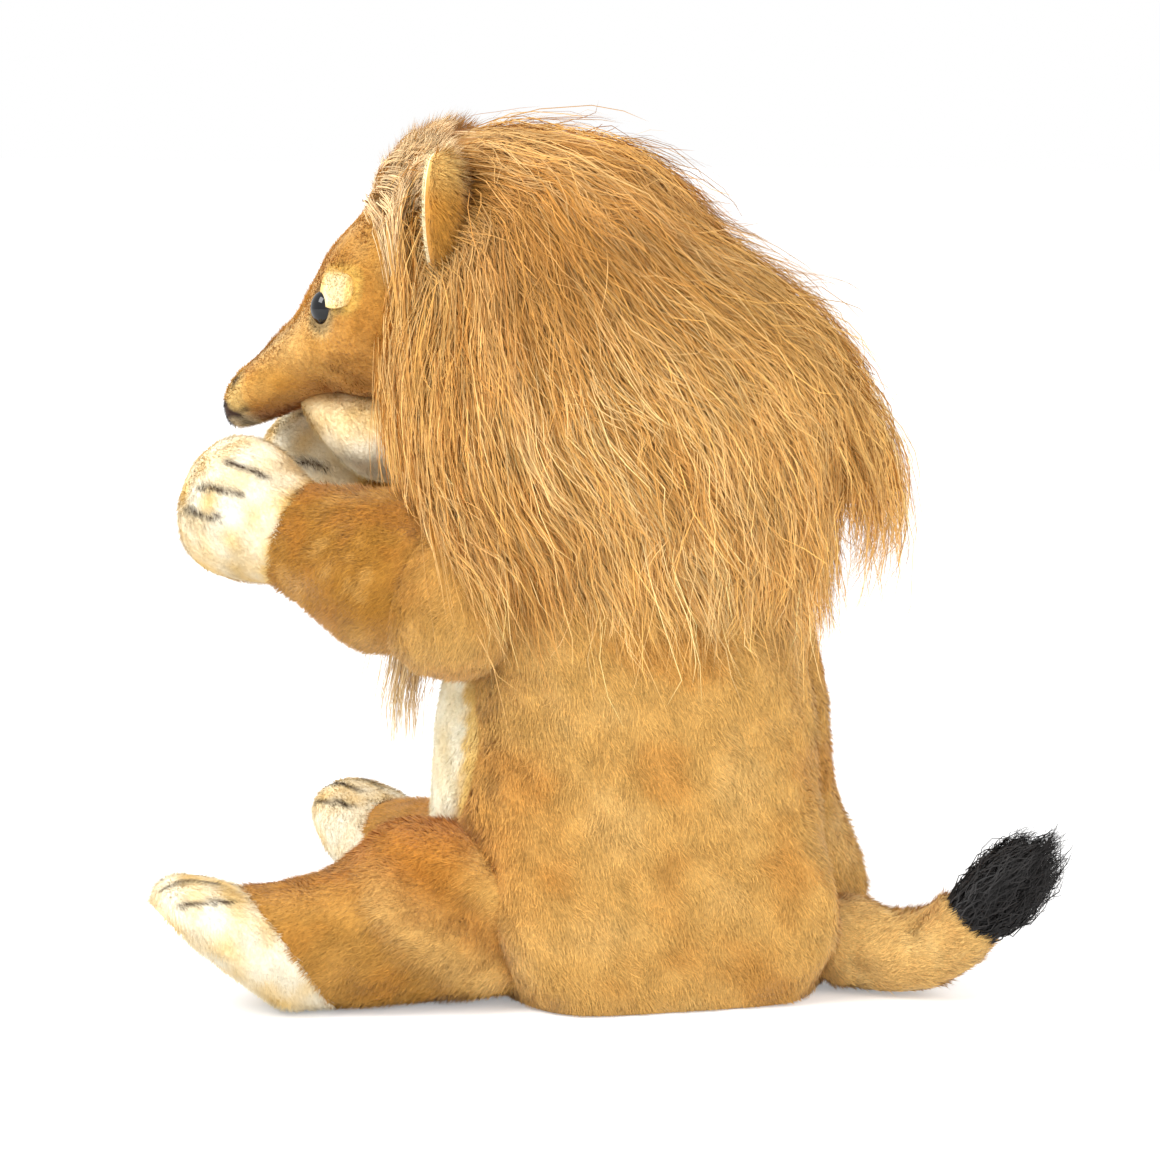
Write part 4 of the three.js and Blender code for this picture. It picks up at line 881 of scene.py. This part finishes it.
def leg_colours(p):
    """Gold with an orange ridge along the top, as sprayed. On the outer side a painted highlight
    of straw lies along the haunch's fold and painted shade of rust in the hollow above it.
    """
    cloud = drift(p, 26, 71) + 0.5 * drift(p, 9, 72)
    by_hip = smoothstep(-48, -24, p[:, 0])
    base = mix(mix(GOLD, AMBER, 0.72), GOLD, 0.8 * by_hip + 0.2 * smoothstep(0.1, 1.4, -cloud))
    ridge = smoothstep(30, 54, p[:, 2]) * smoothstep(-30, -44, p[:, 0])
    ridge = ridge + 0.35 * smoothstep(0, 1.3, cloud)
    on_fold, above = haunch_fold(p)
    outer_side = smoothstep(48, 58, np.abs(p[:, 1]))
    # Painted shade: rust in the hollow above the fold, on the outer side.
    base = mix(mix(base, ORANGE, np.clip(0.75 * ridge, 0, 0.85)), RUST, 0.5 * above * outer_side)
    # Painted highlight: straw along the fold, on the outer side.
    return mix(base, STRAW, 0.35 * on_fold * outer_side)


for name, side in SIDES:
    along = np.array([-math.cos(LEG_SPLAY), side * math.sin(LEG_SPLAY), 0])
    hip = HIP * [1, side, 1]
    rings = leg_rings(side, along, THIGH, 76)
    stuffed(f"hindleg_cloth_{name}", rings, golden_plush, leg_colours, f"hindleg_{name}",
            [f"hindleg_skin_{name}"], tone=0.95)
    places, ways = scattered(rings, 0.52, 73, off_floor)
    ways[:, 2] = np.maximum(ways[:, 2], -0.25)
    nap(f"hindleg_nap_{name}", places, ways, along * 0.8 + [0, 0, -0.5], 3.2, leg_colours,
        golden_plush, f"hindleg_{name}", seed=74)

    rings = leg_rings(side, along, FOOT, 56)
    outward = np.cross([0, 0, 1.0], along) * -side

    def foot_colours(p, hip=hip, along=along, outward=outward):
        """Cream, yellow along the seam and the sole's edge, with dark lines between the toes."""
        sprayed = 0.2 + 0.25 * smoothstep(34, 42, p[:, 2]) + 0.3 * drift(p, 15, 81)
        c = mix(WHITE, YELLOW, np.clip(sprayed, 0, 0.7))
        turn = np.degrees(np.arctan2((p[:, 2] - 24) / 18, (p - hip) @ outward / 20))
        return mix(c, TOE_LINE, 0.95 * stripes((p - hip) @ along, turn, FOOT_TOES))

    stuffed(f"hindpaw_cloth_{name}", rings, cream_plush, foot_colours, f"hindleg_{name}",
            [f"hindpaw_{name}"])
    places, ways = scattered(rings, 0.48, 75, off_floor)
    ways[:, 2] = np.maximum(ways[:, 2], -0.2)
    nap(f"hindpaw_nap_{name}", places, ways, along * -0.3 + [0, 0, -0.8], 2.4, foot_colours,
        cream_plush, f"hindleg_{name}", seed=76, lay=0.78, width=0.36, mottle=0.1, roll=0.35)

# The tail: a slim stuffed tube sewn into the valley between the haunches. It lies on the floor
# and lifts at its end, which carries a tuft of frizzy black hair.
TAIL_ROOT = np.array([72.0, 0, 16])
TAIL_LINE = np.array([[72, 0, 16], [98, -3.5, 8.5], [112, -7, 28.5]])


def tail_point(t):
    """Point and tangent of the tail's middle line, a quadratic Bezier curve, at the share t."""
    t = np.asarray(t, float)[:, None]
    a, b, c = TAIL_LINE
    point = (1 - t) ** 2 * a + 2 * t * (1 - t) * b + t * t * c
    return point, unit(2 * (1 - t) * (b - a) + 2 * t * (c - b))


def tail_colours(p):
    """Gold with orange clouds, half of it straw."""
    cloud = drift(p, 20, 91) + 0.5 * drift(p, 8, 92)
    gold = mix(GOLD, ORANGE, 0.25 * smoothstep(0.3, 1.4, cloud))
    return mix(gold, STRAW, 0.42 + 0.3 * smoothstep(0.2, 1.3, -cloud))


root_ball = ball(TAIL_ROOT, (14.6,) * 3)
stuffed("tail_root_cloth", root_ball, golden_plush, tail_colours, "tail_root", ["tail_root"],
        tone=0.8)
places, ways = scattered(root_ball, 0.5, 95, lambda p: (p[:, 2] > 1.2) & (p[:, 0] > 60))
ways[:, 2] = np.maximum(ways[:, 2], -0.25)
nap("tail_root_nap", places, ways, (0.9, -0.1, -0.3), 3.0, tail_colours, golden_plush,
    "tail_root", seed=96)
t = np.linspace(0, 1, 60)
line, heading = tail_point(t)
girth = np.interp(t, [0, 0.5, 1], [13.5, 12.5, 11])[:, None]
girth[-4:] *= np.array([0.97, 0.9, 0.75, 0.5])[:, None]
across = unit(np.cross(heading, [0, 1, 0]))
rings = rings_of(line, across * girth, unit(np.cross(heading, across)) * girth, 56)
rings[..., 2] = np.maximum(rings[..., 2], 0.4)
stuffed("tail_cloth", rings, golden_plush, tail_colours, "tail", ["tail"], tone=0.8)
clear = lambda p: (np.linalg.norm(p - TAIL_ROOT, axis=-1) > 12) & (p[:, 2] > 1)
places, ways = scattered(rings, 0.5, 93, clear)
ways[:, 2] = np.maximum(ways[:, 2], -0.25)
nap("tail_nap", places, ways, (0.9, -0.1, 0.3), 3.4, tail_colours, golden_plush, "tail", seed=94)

# The tuft's hair is long pile like the mane's, crimped and dyed black, sewn in at the tail's
# end in one bunch.


def hair_fibre(name, roughness, shine):
    """Long acrylic fibre: the strand's own colour, with a soft shine along it."""
    material, tree, surface = new_surface(name, Roughness=roughness, Specular_IOR_Level=shine)
    painted = add(tree, "ShaderNodeVertexColor", {}, layer_name="Pile").outputs["Color"]
    tint(tree, surface, painted, noise(tree, 90.0, 2.0),
         {"From Min": 0.3, "From Max": 0.7, "To Min": 0.9, "To Max": 1.1})
    return material


WISPS = 60
black_fibre = hair_fibre("crimped_black_fibre", 0.5, 0.35)
rng = np.random.default_rng(101)
count, steps = 2600, 10
end, heading = (v[0] for v in tail_point([0.93]))
bunch = unit(0.4 * heading + 0.6 * np.array([0.84, -0.1, 0.58]))
aside = unit(np.cross(bunch, [0, 1, 0]))
over = np.cross(bunch, aside)
wisp = rng.integers(WISPS, size=count)
angle = rng.uniform(0, 2 * np.pi, WISPS)[wisp][:, None] + rng.normal(0, 0.25, (count, 1))
far = (np.sqrt(rng.random(WISPS))[wisp] * rng.uniform(0.8, 1.15, count))[:, None]
spoke = aside * np.cos(angle) + over * np.sin(angle)
reach = (rng.uniform(26, 44, WISPS)[wisp] * rng.uniform(0.75, 1.08, count))[:, None, None]
reach = reach * (1 - 0.2 * far[..., None] ** 2)
t = np.linspace(0, 1, steps)[None, :, None]
paths = end + spoke[:, None] * far[..., None] * (8 + 8.5 * t - 7 * t**3) + bunch * reach * t
for turn in range(3):
    wave = rng.uniform(9, 19, (count, 1, 1)) * t + rng.uniform(0, 7, (count, 1, 1))
    paths = paths + np.sin(wave) * unit(rng.normal(size=(count, 1, 3))) * (0.5 + 1.6 * t)
paths[..., 2] = np.maximum(paths[..., 2] + 2.0 * t[..., 0], 0.4)
widths = np.broadcast_to(np.linspace(0.46, 0.2, steps), (count, steps)) * rng.uniform(0.7, 1.2, (count, 1))
shades = np.broadcast_to(linear(0x1B1817), (count, steps, 3)) * rng.uniform(0.5, 1.8, (count, 1, 1))
outs = np.repeat(unit(spoke * far + bunch * 0.4)[:, None], steps, 1)
surface, tones, lit = blades(paths, widths, outs, shades, rng, 1.5)
tuft = made("tail_tuft_hair", surface, black_fibre, tones, lit)
carried(tuft, "tail", "tuft_fur", "tail_tuft")

# The mane: hair of long straw-gold pile. A thin dark backing carries it round the head; the
# crown of it lies on the head and the cape of it on the shoulders.
MANE_TOP, MANE_LOW, MANE_WIDTH, MANE_DEPTH, MANE_PARTING = 277, 116, 146, 156, 205
# Height, front and back off the torso's axis, and half width, as shares.
MANE = [[0, -0.37, 0.45, 0.82], [0.15, -0.41, 0.54, 0.93], [0.304, -0.46, 0.55, 1],
        [0.44, -0.5, 0.494, 0.986], [0.54, -0.51, 0.412, 0.93], [0.646, -0.512, 0.28, 0.85],
        [0.745, -0.535, 0.175, 0.78], [0.845, -0.555, 0.105, 0.66], [0.925, -0.525, 0.04, 0.49],
        [0.975, -0.44, -0.09, 0.27], [1, -0.3, -0.2, 0.1]]
MANE_CORE_TOP = 225
mane_fibre = hair_fibre("combed_straw_fibre", 0.55, 0.3)
mane_rows = smoothed(MANE, 120)
mane_z = MANE_LOW + mane_rows[:, 0] * (MANE_TOP - MANE_LOW)
mane_front, mane_back = mane_rows[:, 1] * MANE_DEPTH, mane_rows[:, 2] * MANE_DEPTH
mane_half = mane_rows[:, 3] * MANE_WIDTH / 2


def mane_depth(p):
    """Squareness 2.6 ellipse measure of points in the mane's form: 1 on its surface."""
    front, back, half = (np.interp(p[..., 2], mane_z, w) for w in (mane_front, mane_back, mane_half))
    across = np.abs((p[..., 0] - (front + back) / 2) / ((back - front) / 2)) ** 2.6
    return np.where(p[..., 2] > MANE_TOP, 9, across + np.abs(p[..., 1] / half) ** 2.6)


def on_mane(p, lift):
    """Points moved along the ray from the mane's core until they lie lift above its form."""
    z = np.minimum(p[..., 2], MANE_CORE_TOP)
    core = np.stack([np.interp(z, mane_z, (mane_front + mane_back) / 2), 0 * z, z], -1)
    way = unit(p - core)
    low, high = np.zeros(len(p)), np.full(len(p), 160.0)
    for _ in range(15):
        middle = (low + high) / 2
        inside = mane_depth(core + way * middle[:, None]) < 1
        low, high = np.where(inside, middle, low), np.where(inside, high, middle)
    return core + way * (low + lift)[:, None], way


def kept_out(p, side):
    """Points inside a shoulder or an upper foreleg, moved out sideways to lie on its nap."""
    along, shoulder = arm_axes(side)[0], SHOULDER * [1, side, 1]
    t = np.clip((p - shoulder) @ along, 0, ARM_LENGTH * 0.9)
    radius = np.interp(t, [0, 20, 35, 60], [30, 30, 29, 23])
    off = p - shoulder - t[:, None] * along
    far = np.linalg.norm(off, axis=-1)
    way = unit(off + np.array([0, side, 0]) * 6)
    outside = shoulder + t[:, None] * along + way * radius[:, None]
    return np.where((far < radius)[:, None], outside, p)


def combed(p):
    """The way the hair is combed: back over the crown, down and outwards beside the face, down
    the sides, and down and back over the shoulders."""
    x, y, z = p.T
    brow = smoothstep(-58, -70, x) * smoothstep(32, 20, np.abs(y)) * smoothstep(236, 244, z)
    crown = np.maximum(smoothstep(232, 262, z), brow)
    back = np.interp(x, [-80, -62, -40, -5, 35, 70], [-0.12, -0.05, 0.12, 0.5, 0.9, 0.75])
    low = smoothstep(190, 130, z)
    down = np.stack([back * (1 - 0.55 * low), 0.1 * np.sign(y) * (1 - low), -np.ones(len(p))], -1)
    over = np.stack([np.ones(len(p)), 0.75 * y / 40, -0.15 - 0.9 * smoothstep(-20, 40, x)], -1)
    beside = (smoothstep(-66, -76, x) * smoothstep(262, 240, z))[:, None]
    down = down + beside * np.stack([0.25 + 0 * x, 0.5 * np.sign(y), 0.15 + 0 * x], -1)
    return unit(mix(down, over, crown))


# The backing lies under the hair and draws in to the torso's own cloth below the neck.
BACKING_UNDER, BACKING_LOW = 9, 150
torso_rows = smoothed(TORSO, 200)
torso_z = torso_rows[:, 0] * TORSO_HEIGHT
torso_middle, torso_x, torso_y = (
    np.interp(mane_z, torso_z, torso_rows[:, k] * w)
    for k, w in ((1, TORSO_DEPTH), (2, TORSO_DEPTH / 2), (3, TORSO_WIDTH / 2)))
drawn_in = 1 - smoothstep(160, 200, mane_z)
blended = lambda hair, cloth: hair + (cloth - hair) * drawn_in
zero = 0 * mane_z
half_x = blended((mane_back - mane_front) / 2 - BACKING_UNDER, torso_x + 3)
half_y = blended(mane_half - BACKING_UNDER, torso_y + 3)
backing = rings_of(
    np.stack([blended((mane_front + mane_back) / 2, torso_middle), zero, mane_z], -1),
    np.stack([np.maximum(half_x, 2), zero, zero], -1),
    np.stack([zero, np.maximum(half_y, 2), zero], -1), 96, 2.4)
backing = backing[(mane_z > BACKING_LOW) & (mane_z < MANE_TOP - 4)]
gap_back = np.clip(mane_back - torso_middle - torso_x - 8, 0, 25)
gap_side = np.clip(mane_half - torso_y - 8, 0, 9)
HAIR_DARK, HAIR_GOLD, HAIR_LIGHT, HAIR_PALE = (
    linear(c) for c in (0xA8702E, 0xDBA85A, 0xF2D192, 0xEFD3A6))
CROWN_BEND = (("neck", "head"), (0.060, 0, 0.165), (0.005, 0, 0.245))
CAPE_BEND = (("root", "neck"), (0, 0, 0.150), (0, 0, 0.215))
for name, node, (bones, start, end), low, high in (
        ("mane_cape_backing", "mane_cape", CAPE_BEND, BACKING_LOW, MANE_PARTING + 5),
        ("mane_crown_backing", "mane_crown", CROWN_BEND, MANE_PARTING - 3, MANE_TOP)):
    height = backing[:, 0, 2]
    points, faces = skin(backing[(height > low) & (height < high)])
    shades = mix(HAIR_DARK, HAIR_GOLD, 0.3 + 0.2 * drift(points, 16, 111))
    base = made(name, (points, faces), golden_plush[0], shades)
    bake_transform(base)
    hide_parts(node)


def parted_at_ears(p):
    """Points in the way of an ear, moved in front of it or behind it."""
    x, y, z = np.moveaxis(p, -1, 0)
    chord = np.sqrt(np.clip(1 - ((z - EAR[2]) / 27) ** 2, 0, 1)) * 15
    off = x - EAR[0]
    inside = (np.abs(off) < chord) & (np.abs(y) > 27)
    q = p.copy()
    q[..., 0] = np.where(inside, EAR[0] + np.where(off > -5, chord, -chord), x)
    return q


def free_end(fly):
    """The height where a lock ends that flies free at the back: on the slanting line from the
    nape's hollow, where fly is 0, to the mane's own tip, where it is 1."""
    return 162 - 37 * fly**1.6


def guides_from(roots, lengths, layers, steps, flare, hug, fly):
    """Middle lines of locks. Each steps along the combed way and is laid at its own layer on
    the mane's form, then past ears, shoulders and forelegs, and is smoothed. By the share hug
    its lower part sinks from the form towards the back and the sides of the torso; without
    it the lock flies free, and sinks less the nearer fly is to 1."""
    def sunk(p):
        """How far under the form the hair lies, less on the near side of the back."""
        side, back = (np.interp(p[:, 2], mane_z, gap) for gap in (gap_side, gap_back))
        back = back * (1 - 0.5 * smoothstep(10, 34, -p[:, 1]))
        depth = side + (back - side) * smoothstep(15, 50, p[:, 0])
        return depth * smoothstep(-22, 0, p[:, 0]) * smoothstep(190, 156, p[:, 2])

    q, way = on_mane(roots, -BACKING_UNDER - sunk(roots))
    paths, outs = [q], [way]
    for k in range(1, steps):
        t = k / (steps - 1)
        q = paths[-1] + combed(paths[-1]) * (lengths / (steps - 1))[:, None]
        lift = (BACKING_UNDER + layers) * smoothstep(0, 0.22, t) - BACKING_UNDER
        lift = lift + flare * smoothstep(0.55, 1, t)
        fallen = smoothstep(0, 1, (215 - q[:, 2]) / (215 - free_end(fly)))
        loose = (28 - 37 * fly) * fallen * smoothstep(15, 45, q[:, 0])
        q, way = on_mane(q, lift - np.where(hug > 0, hug * sunk(q), loose))
        paths.append(parted_at_ears(q))
        outs.append(way)
    paths = np.stack(paths, 1)
    for side in (-1, 1):
        paths = kept_out(paths.reshape(-1, 3), side).reshape(paths.shape)
    for _ in range(2):
        paths[:, 1:-1] = (paths[:, :-2] + 2 * paths[:, 1:-1] + paths[:, 2:]) / 4
    return paths, np.stack(outs, 1)


def hairs_along(guides, outs, reach, tones, calm, count, points_each, seed):
    """Single hairs drawn along guides, as blades. Each guide has three smaller locks with their
    own place, length, tone and bend; their hairs are loose at the root, gathered at the tip and
    finely waved, and a few stray. All of it is less by the share calm. Each hair is painted
    darker at the root and lighter at the tip: painted shade under the upper layers and painted
    light at the ends."""
    rng = np.random.default_rng(seed)
    steps, locks = guides.shape[1], 3 * len(guides)
    pick = np.arange(locks) // 3
    wild = (1 - calm[pick])[:, None, None]
    place = rng.normal(0, 3.4, (locks, 1, 3)) * (0.4 + 0.6 * wild)
    bend = rng.normal(0, 6.5, (locks, 1, 3)) * wild
    share = rng.uniform(0.55, 1.0, locks)
    tone = rng.choice([0.88, 0.97, 1.03, 1.1], (locks, 1), p=[0.2, 0.3, 0.3, 0.2])
    tilt = rng.normal(0, 0.2, (locks, 1, 3))
    lock = rng.integers(locks, size=count)
    pick, wild = pick[lock], wild[lock]
    stray = (rng.random(count) < 0.3)[:, None, None]
    t = np.linspace(0, 1, points_each)[None]
    s = t * (reach[pick] * share[lock] * rng.uniform(0.8, 1.05, count))[:, None] * (steps - 1)
    i = np.clip(s.astype(int), 0, steps - 2)
    w = (s - i)[..., None]
    t = t[..., None]
    between = lambda rows: rows[pick[:, None], i] * (1 - w) + rows[pick[:, None], i + 1] * w
    paths = between(guides) + place[lock] * (1 - 0.5 * t) + bend[lock] * t**1.6
    loose = rng.normal(0, 2.4, (count, 1, 3)) * (0.35 + 0.65 * wild)
    paths = paths + loose * np.where(stray, 1 + 2.2 * t * wild, 1 - 0.6 * t)
    flat = paths.reshape(-1, 3)
    wave = np.stack([drift(flat, 30, seed + k) for k in (1, 2, 3)], -1).reshape(paths.shape)
    crimp = np.sin(rng.uniform(4, 9, (count, 1, 1)) * t + rng.uniform(0, 6, (count, 1, 1)))
    paths = paths + wild * (wave * (3.4 * t) + crimp * rng.normal(0, 0.75, (count, 1, 3)))
    off = paths - between(guides)
    rise = (off * between(outs)).sum(-1, keepdims=True)
    paths = paths - np.maximum(rise - 0.6 - 1.5 * stray, 0) * 0.8 * between(outs)
    widths = np.interp(t[..., 0], [0, 0.3, 0.8, 1], [0.25, 0.28, 0.21, 0.07])
    widths = widths * rng.uniform(0.7, 1.3, (count, 1))
    single = tones[pick] * tone[lock]
    single = single * rng.choice([0.8, 0.95, 1.05, 1.25], (count, 1), p=[0.2, 0.35, 0.3, 0.15])
    # Painted shade at the root of each hair and painted light towards its tip.
    shades = single[:, None] * np.interp(t, [0, 0.25, 0.7, 1], [0.78, 0.97, 1.03, 1.08])
    return blades(paths, widths, unit(between(outs) + tilt[lock]), shades, rng, 1.1, 0.5)


rng = np.random.default_rng(121)
roots, ways = scattered(backing, 4.5, 122)
beside_face = (roots[:, 0] < -62) & (np.abs(roots[:, 1]) < 20) & (roots[:, 2] < 244)
below_chin = (roots[:, 0] < -56) & (np.abs(roots[:, 1]) < 24) & (roots[:, 2] < 206)
roots = roots[~beside_face & ~below_chin & (roots[:, 2] > BACKING_LOW + 2)]
x, y, z = roots.T
count = len(roots)
forelock = (x < -64) & (z > 238) & (np.abs(y) < 30)
lengths = np.where(forelock, rng.uniform(30, 52, count), rng.uniform(52, 108, count))
at_back = smoothstep(20, 70, x)
layers = rng.uniform(-8, -2.5, count) - 1.5 * at_back
flare = rng.uniform(-5, 0, count)
aside = np.abs(y) / np.interp(z, mane_z, mane_half)
fly = rng.random(count) ** 0.65 * (1 - 0.9 * smoothstep(0.1, 0.6, aside))
free = rng.random(count) < 0.6 * smoothstep(0.85, 0.45, aside)
free = free & (x > 12) & (z < 250) & (z > free_end(fly) + 38)
hug = np.where(free, 0.0, rng.uniform(0.85, 1.05, count))
lengths = np.where(free, np.clip(1.15 * (z - free_end(fly)) + 12, 30, 125), lengths)
guides, outs = guides_from(roots, lengths, layers, 14, flare, hug, fly)
ends = np.where(free, free_end(fly) + rng.normal(0, 2, count), rng.normal(122, 10, count))
under = guides[..., 2] < ends[:, None]
t = np.linspace(0, 1, 14)
fan = (rng.random(count) * smoothstep(-44, -62, x) * smoothstep(240, 225, z))[:, None] * t**1.5
guides += fan[..., None] * np.stack([-9 + 0 * y, -4 * np.sign(y), 0 * y], -1)[:, None]
reach = np.where(under.any(1), np.maximum(under.argmax(1), 3) / 13, 1.0)
cloud = drift(guides[:, 5], 26, 123)
tones = mix(mix(HAIR_GOLD, HAIR_DARK, 0.75 * rng.random(count) ** 1.5), HAIR_LIGHT,
            np.clip(0.3 * cloud + rng.uniform(-0.3, 0.5, count), 0, 0.85))
# The upper middle of the mane: orange, its own colour, and 0.26 darker as painted shade that offsets the
# light from above; the rest is 1.09 times brighter.
warm = np.exp(-(((guides[:, 5, 0] + 10) / 40) ** 2) - ((guides[:, 5, 2] - 236) / 32) ** 2)
tones = mix(tones, ORANGE, 0.6 * warm) * (1.09 - 0.26 * warm)[:, None]
# Painted light: locks at the back top are drawn towards gold, for the backlit outer wisps.
pale = smoothstep(24, 66, guides[:, 6, 0]) * smoothstep(165, 200, guides[:, 6, 2])
tones = mix(tones, HAIR_GOLD, 0.4 * pale)
tones = mix(tones, HAIR_PALE, 0.7 * forelock)
calm = np.where(forelock, 0.9, 0.0)
on_crown = z > MANE_PARTING
for name, chosen, total, parts, (bones, start, end) in (
        ("mane_crown_hair", on_crown, 62000, 4, CROWN_BEND),
        ("mane_cape_hair", ~on_crown, 24000, 2, CAPE_BEND)):
    for part in range(parts):
        surface, colours, lit = hairs_along(
            guides[chosen], outs[chosen], reach[chosen], tones[chosen], calm[chosen],
            total // parts, 7, 130 + 7 * part)
        hair = made(f"{name}_{part + 1}", surface, mane_fibre, colours, lit)
        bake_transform(hair)

# The forelock: a hump of short dense beige pile between the ears, with painted shade in
# brown at its base.
brow = backing[(backing[:, 0, 2] > 236)]
in_forelock = lambda p: (p[:, 0] < -50 - 0.9 * np.maximum(p[:, 2] - 262, 0)) & (np.abs(p[:, 1]) < 36)
places, ways = scattered(brow, 0.36, 141, in_forelock)
places += ways * np.random.default_rng(142).uniform(-1, 4.5, (len(places), 1))
beige = lambda p: mix(HAIR_PALE, HAIR_GOLD, 0.25 + 0.2 * drift(p, 12, 143))
# Painted shade: umber at the base of the hump.
forelock_colours = lambda p: mix(beige(p), UMBER, 0.7 * smoothstep(252, 240, p[:, 2]))
nap("forelock_hair", places, ways, (1, 0, 0.2), 5.5, forelock_colours, (mane_fibre, "mane_fur"),
    "head", seed=144, lay=0.72, width=0.3, mottle=0.5)

# The chest ruff: a thin lock of the same hair that hangs from the throat between the forelegs.
rng = np.random.default_rng(151)
count = 800
t = np.linspace(0, 1, 7)[None, :, None]
top = np.stack([rng.normal(-71, 4, count), rng.normal(0, 6.5, count), rng.uniform(136, 154, count)], -1)
drop = rng.uniform(34, 74, (count, 1, 1))
paths = top[:, None] + np.array([-5.0, 0, 0]) * t + drop * t * np.array([-0.03, 0, -1])
paths[..., 1] *= 1.15 - 0.5 * t[..., 0]
flat = paths.reshape(-1, 3)
paths += np.stack([drift(flat, 30, 152 + k) for k in range(3)], -1).reshape(paths.shape) * 2.2 * t
widths = np.linspace(0.38, 0.12, 7)[None] * rng.uniform(0.7, 1.2, (count, 1))
shades = mix(np.broadcast_to(HAIR_LIGHT, (count, 3)), HAIR_PALE, rng.random(count))
shades = shades[:, None] * np.ones((1, 7, 1))
outs = np.broadcast_to(np.array([-0.5, -0.7, 0.2]), paths.shape)
surface, tones, lit = blades(paths, widths, outs, shades, rng, 1.5)
ruff = made("chest_ruff_hair", surface, mane_fibre, tones, lit)
carried(ruff, "root", "mane_fur", "chest_ruff")

# Inside: loose polyester filling, the tricot finger pockets and the moulded eye washers keep
# their plain forms, as nothing of them shows.
filling = toned("loose_polyester_filling", 0xF2F0EA, 1.0, 4, 0.1, 0.8)
washer_plastic = toned("moulded_washer_plastic", 0xE6E4DC, 0.45, 2, 0.03, 0.05)
for name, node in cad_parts.items():
    for part, material in (("stuffing", filling), ("padding", filling),
                           ("finger_pocket", tricot), ("washer", washer_plastic)):
        if part in name:
            node.data.materials.clear()
            node.data.materials.append(material)

# The studio: a white floor without a horizon and soft light from the upper left.
scene = bpy.context.scene
world = bpy.data.worlds.new("soft_white_room")
scene.world = world
world.use_nodes = True
tree = world.node_tree
rays = add(tree, "ShaderNodeLightPath", {})
seen = rays.outputs["Is Camera Ray"]
for kind in ("Is Glossy Ray", "Is Transmission Ray"):
    either = {0: seen, 1: rays.outputs[kind]}
    seen = add(tree, "ShaderNodeMath", either, operation="MAXIMUM").outputs["Value"]
ROOM_LEVEL = 1.02
level = add(tree, "ShaderNodeMapRange", {"Value": seen, "To Min": ROOM_LEVEL, "To Max": 1.0})
background = tree.nodes["Background"]
background.inputs["Color"].default_value = (1, 1, 1, 1)
tree.links.new(level.outputs["Result"], background.inputs["Strength"])

FLOOR_HALF = 6.0
floor_mesh = bpy.data.meshes.new("studio_floor")
corners = [(FLOOR_HALF * x, FLOOR_HALF * y, 0) for x, y in ((-1, -1), (1, -1), (1, 1), (-1, 1))]
floor_mesh.from_pydata(corners, [], [(0, 1, 2, 3)])
floor = bpy.data.objects.new("studio_floor", floor_mesh)
bpy.context.collection.objects.link(floor)
paper, tree, surface = new_surface(
    "white_paper_sweep", Base_Color=(0.86, 0.86, 0.86, 1), Roughness=1.0, Specular_IOR_Level=0.0,
    Emission_Color=(1, 1, 1, 1))
camera_ray = add(tree, "ShaderNodeLightPath", {}).outputs["Is Camera Ray"]
glow = add(tree, "ShaderNodeMapRange", {"Value": camera_ray, "To Min": 0.0, "To Max": 0.3})
tree.links.new(glow.outputs["Result"], surface.inputs["Emission Strength"])
floor_mesh.materials.append(paper)


def lamp(name, place, target, size, power):
    """A square soft lamp aimed at a point."""
    light = bpy.data.lights.new(name, "AREA")
    light.shape, light.size, light.energy = "SQUARE", size, power
    holder = bpy.data.objects.new(name, light)
    bpy.context.collection.objects.link(holder)
    holder.location = place
    holder.rotation_euler = (Vector(target) - Vector(place)).to_track_quat("-Z", "Y").to_euler()


lamp("key_softbox", (-1.1, -1.3, 1.7), (0, 0, 0.13), 1.2, 44)
lamp("fill_softbox", (1.5, -1.2, 0.9), (0, 0, 0.13), 1.4, 22)

camera_data = bpy.data.cameras.new("camera")
camera = bpy.data.objects.new("camera", camera_data)
bpy.context.collection.objects.link(camera)
scene.camera = camera
AIM = Vector((-0.02165, 0, 0.1293))
camera.location = AIM + 1.364 * Vector((0.2563, -0.9565, 0.1392))
camera.rotation_euler = (AIM - camera.location).to_track_quat("-Z", "Y").to_euler()
camera_data.lens, camera_data.sensor_width = 131.5, 36
camera_data.clip_start, camera_data.clip_end = 0.05, 50
scene.view_settings.view_transform = "Standard"
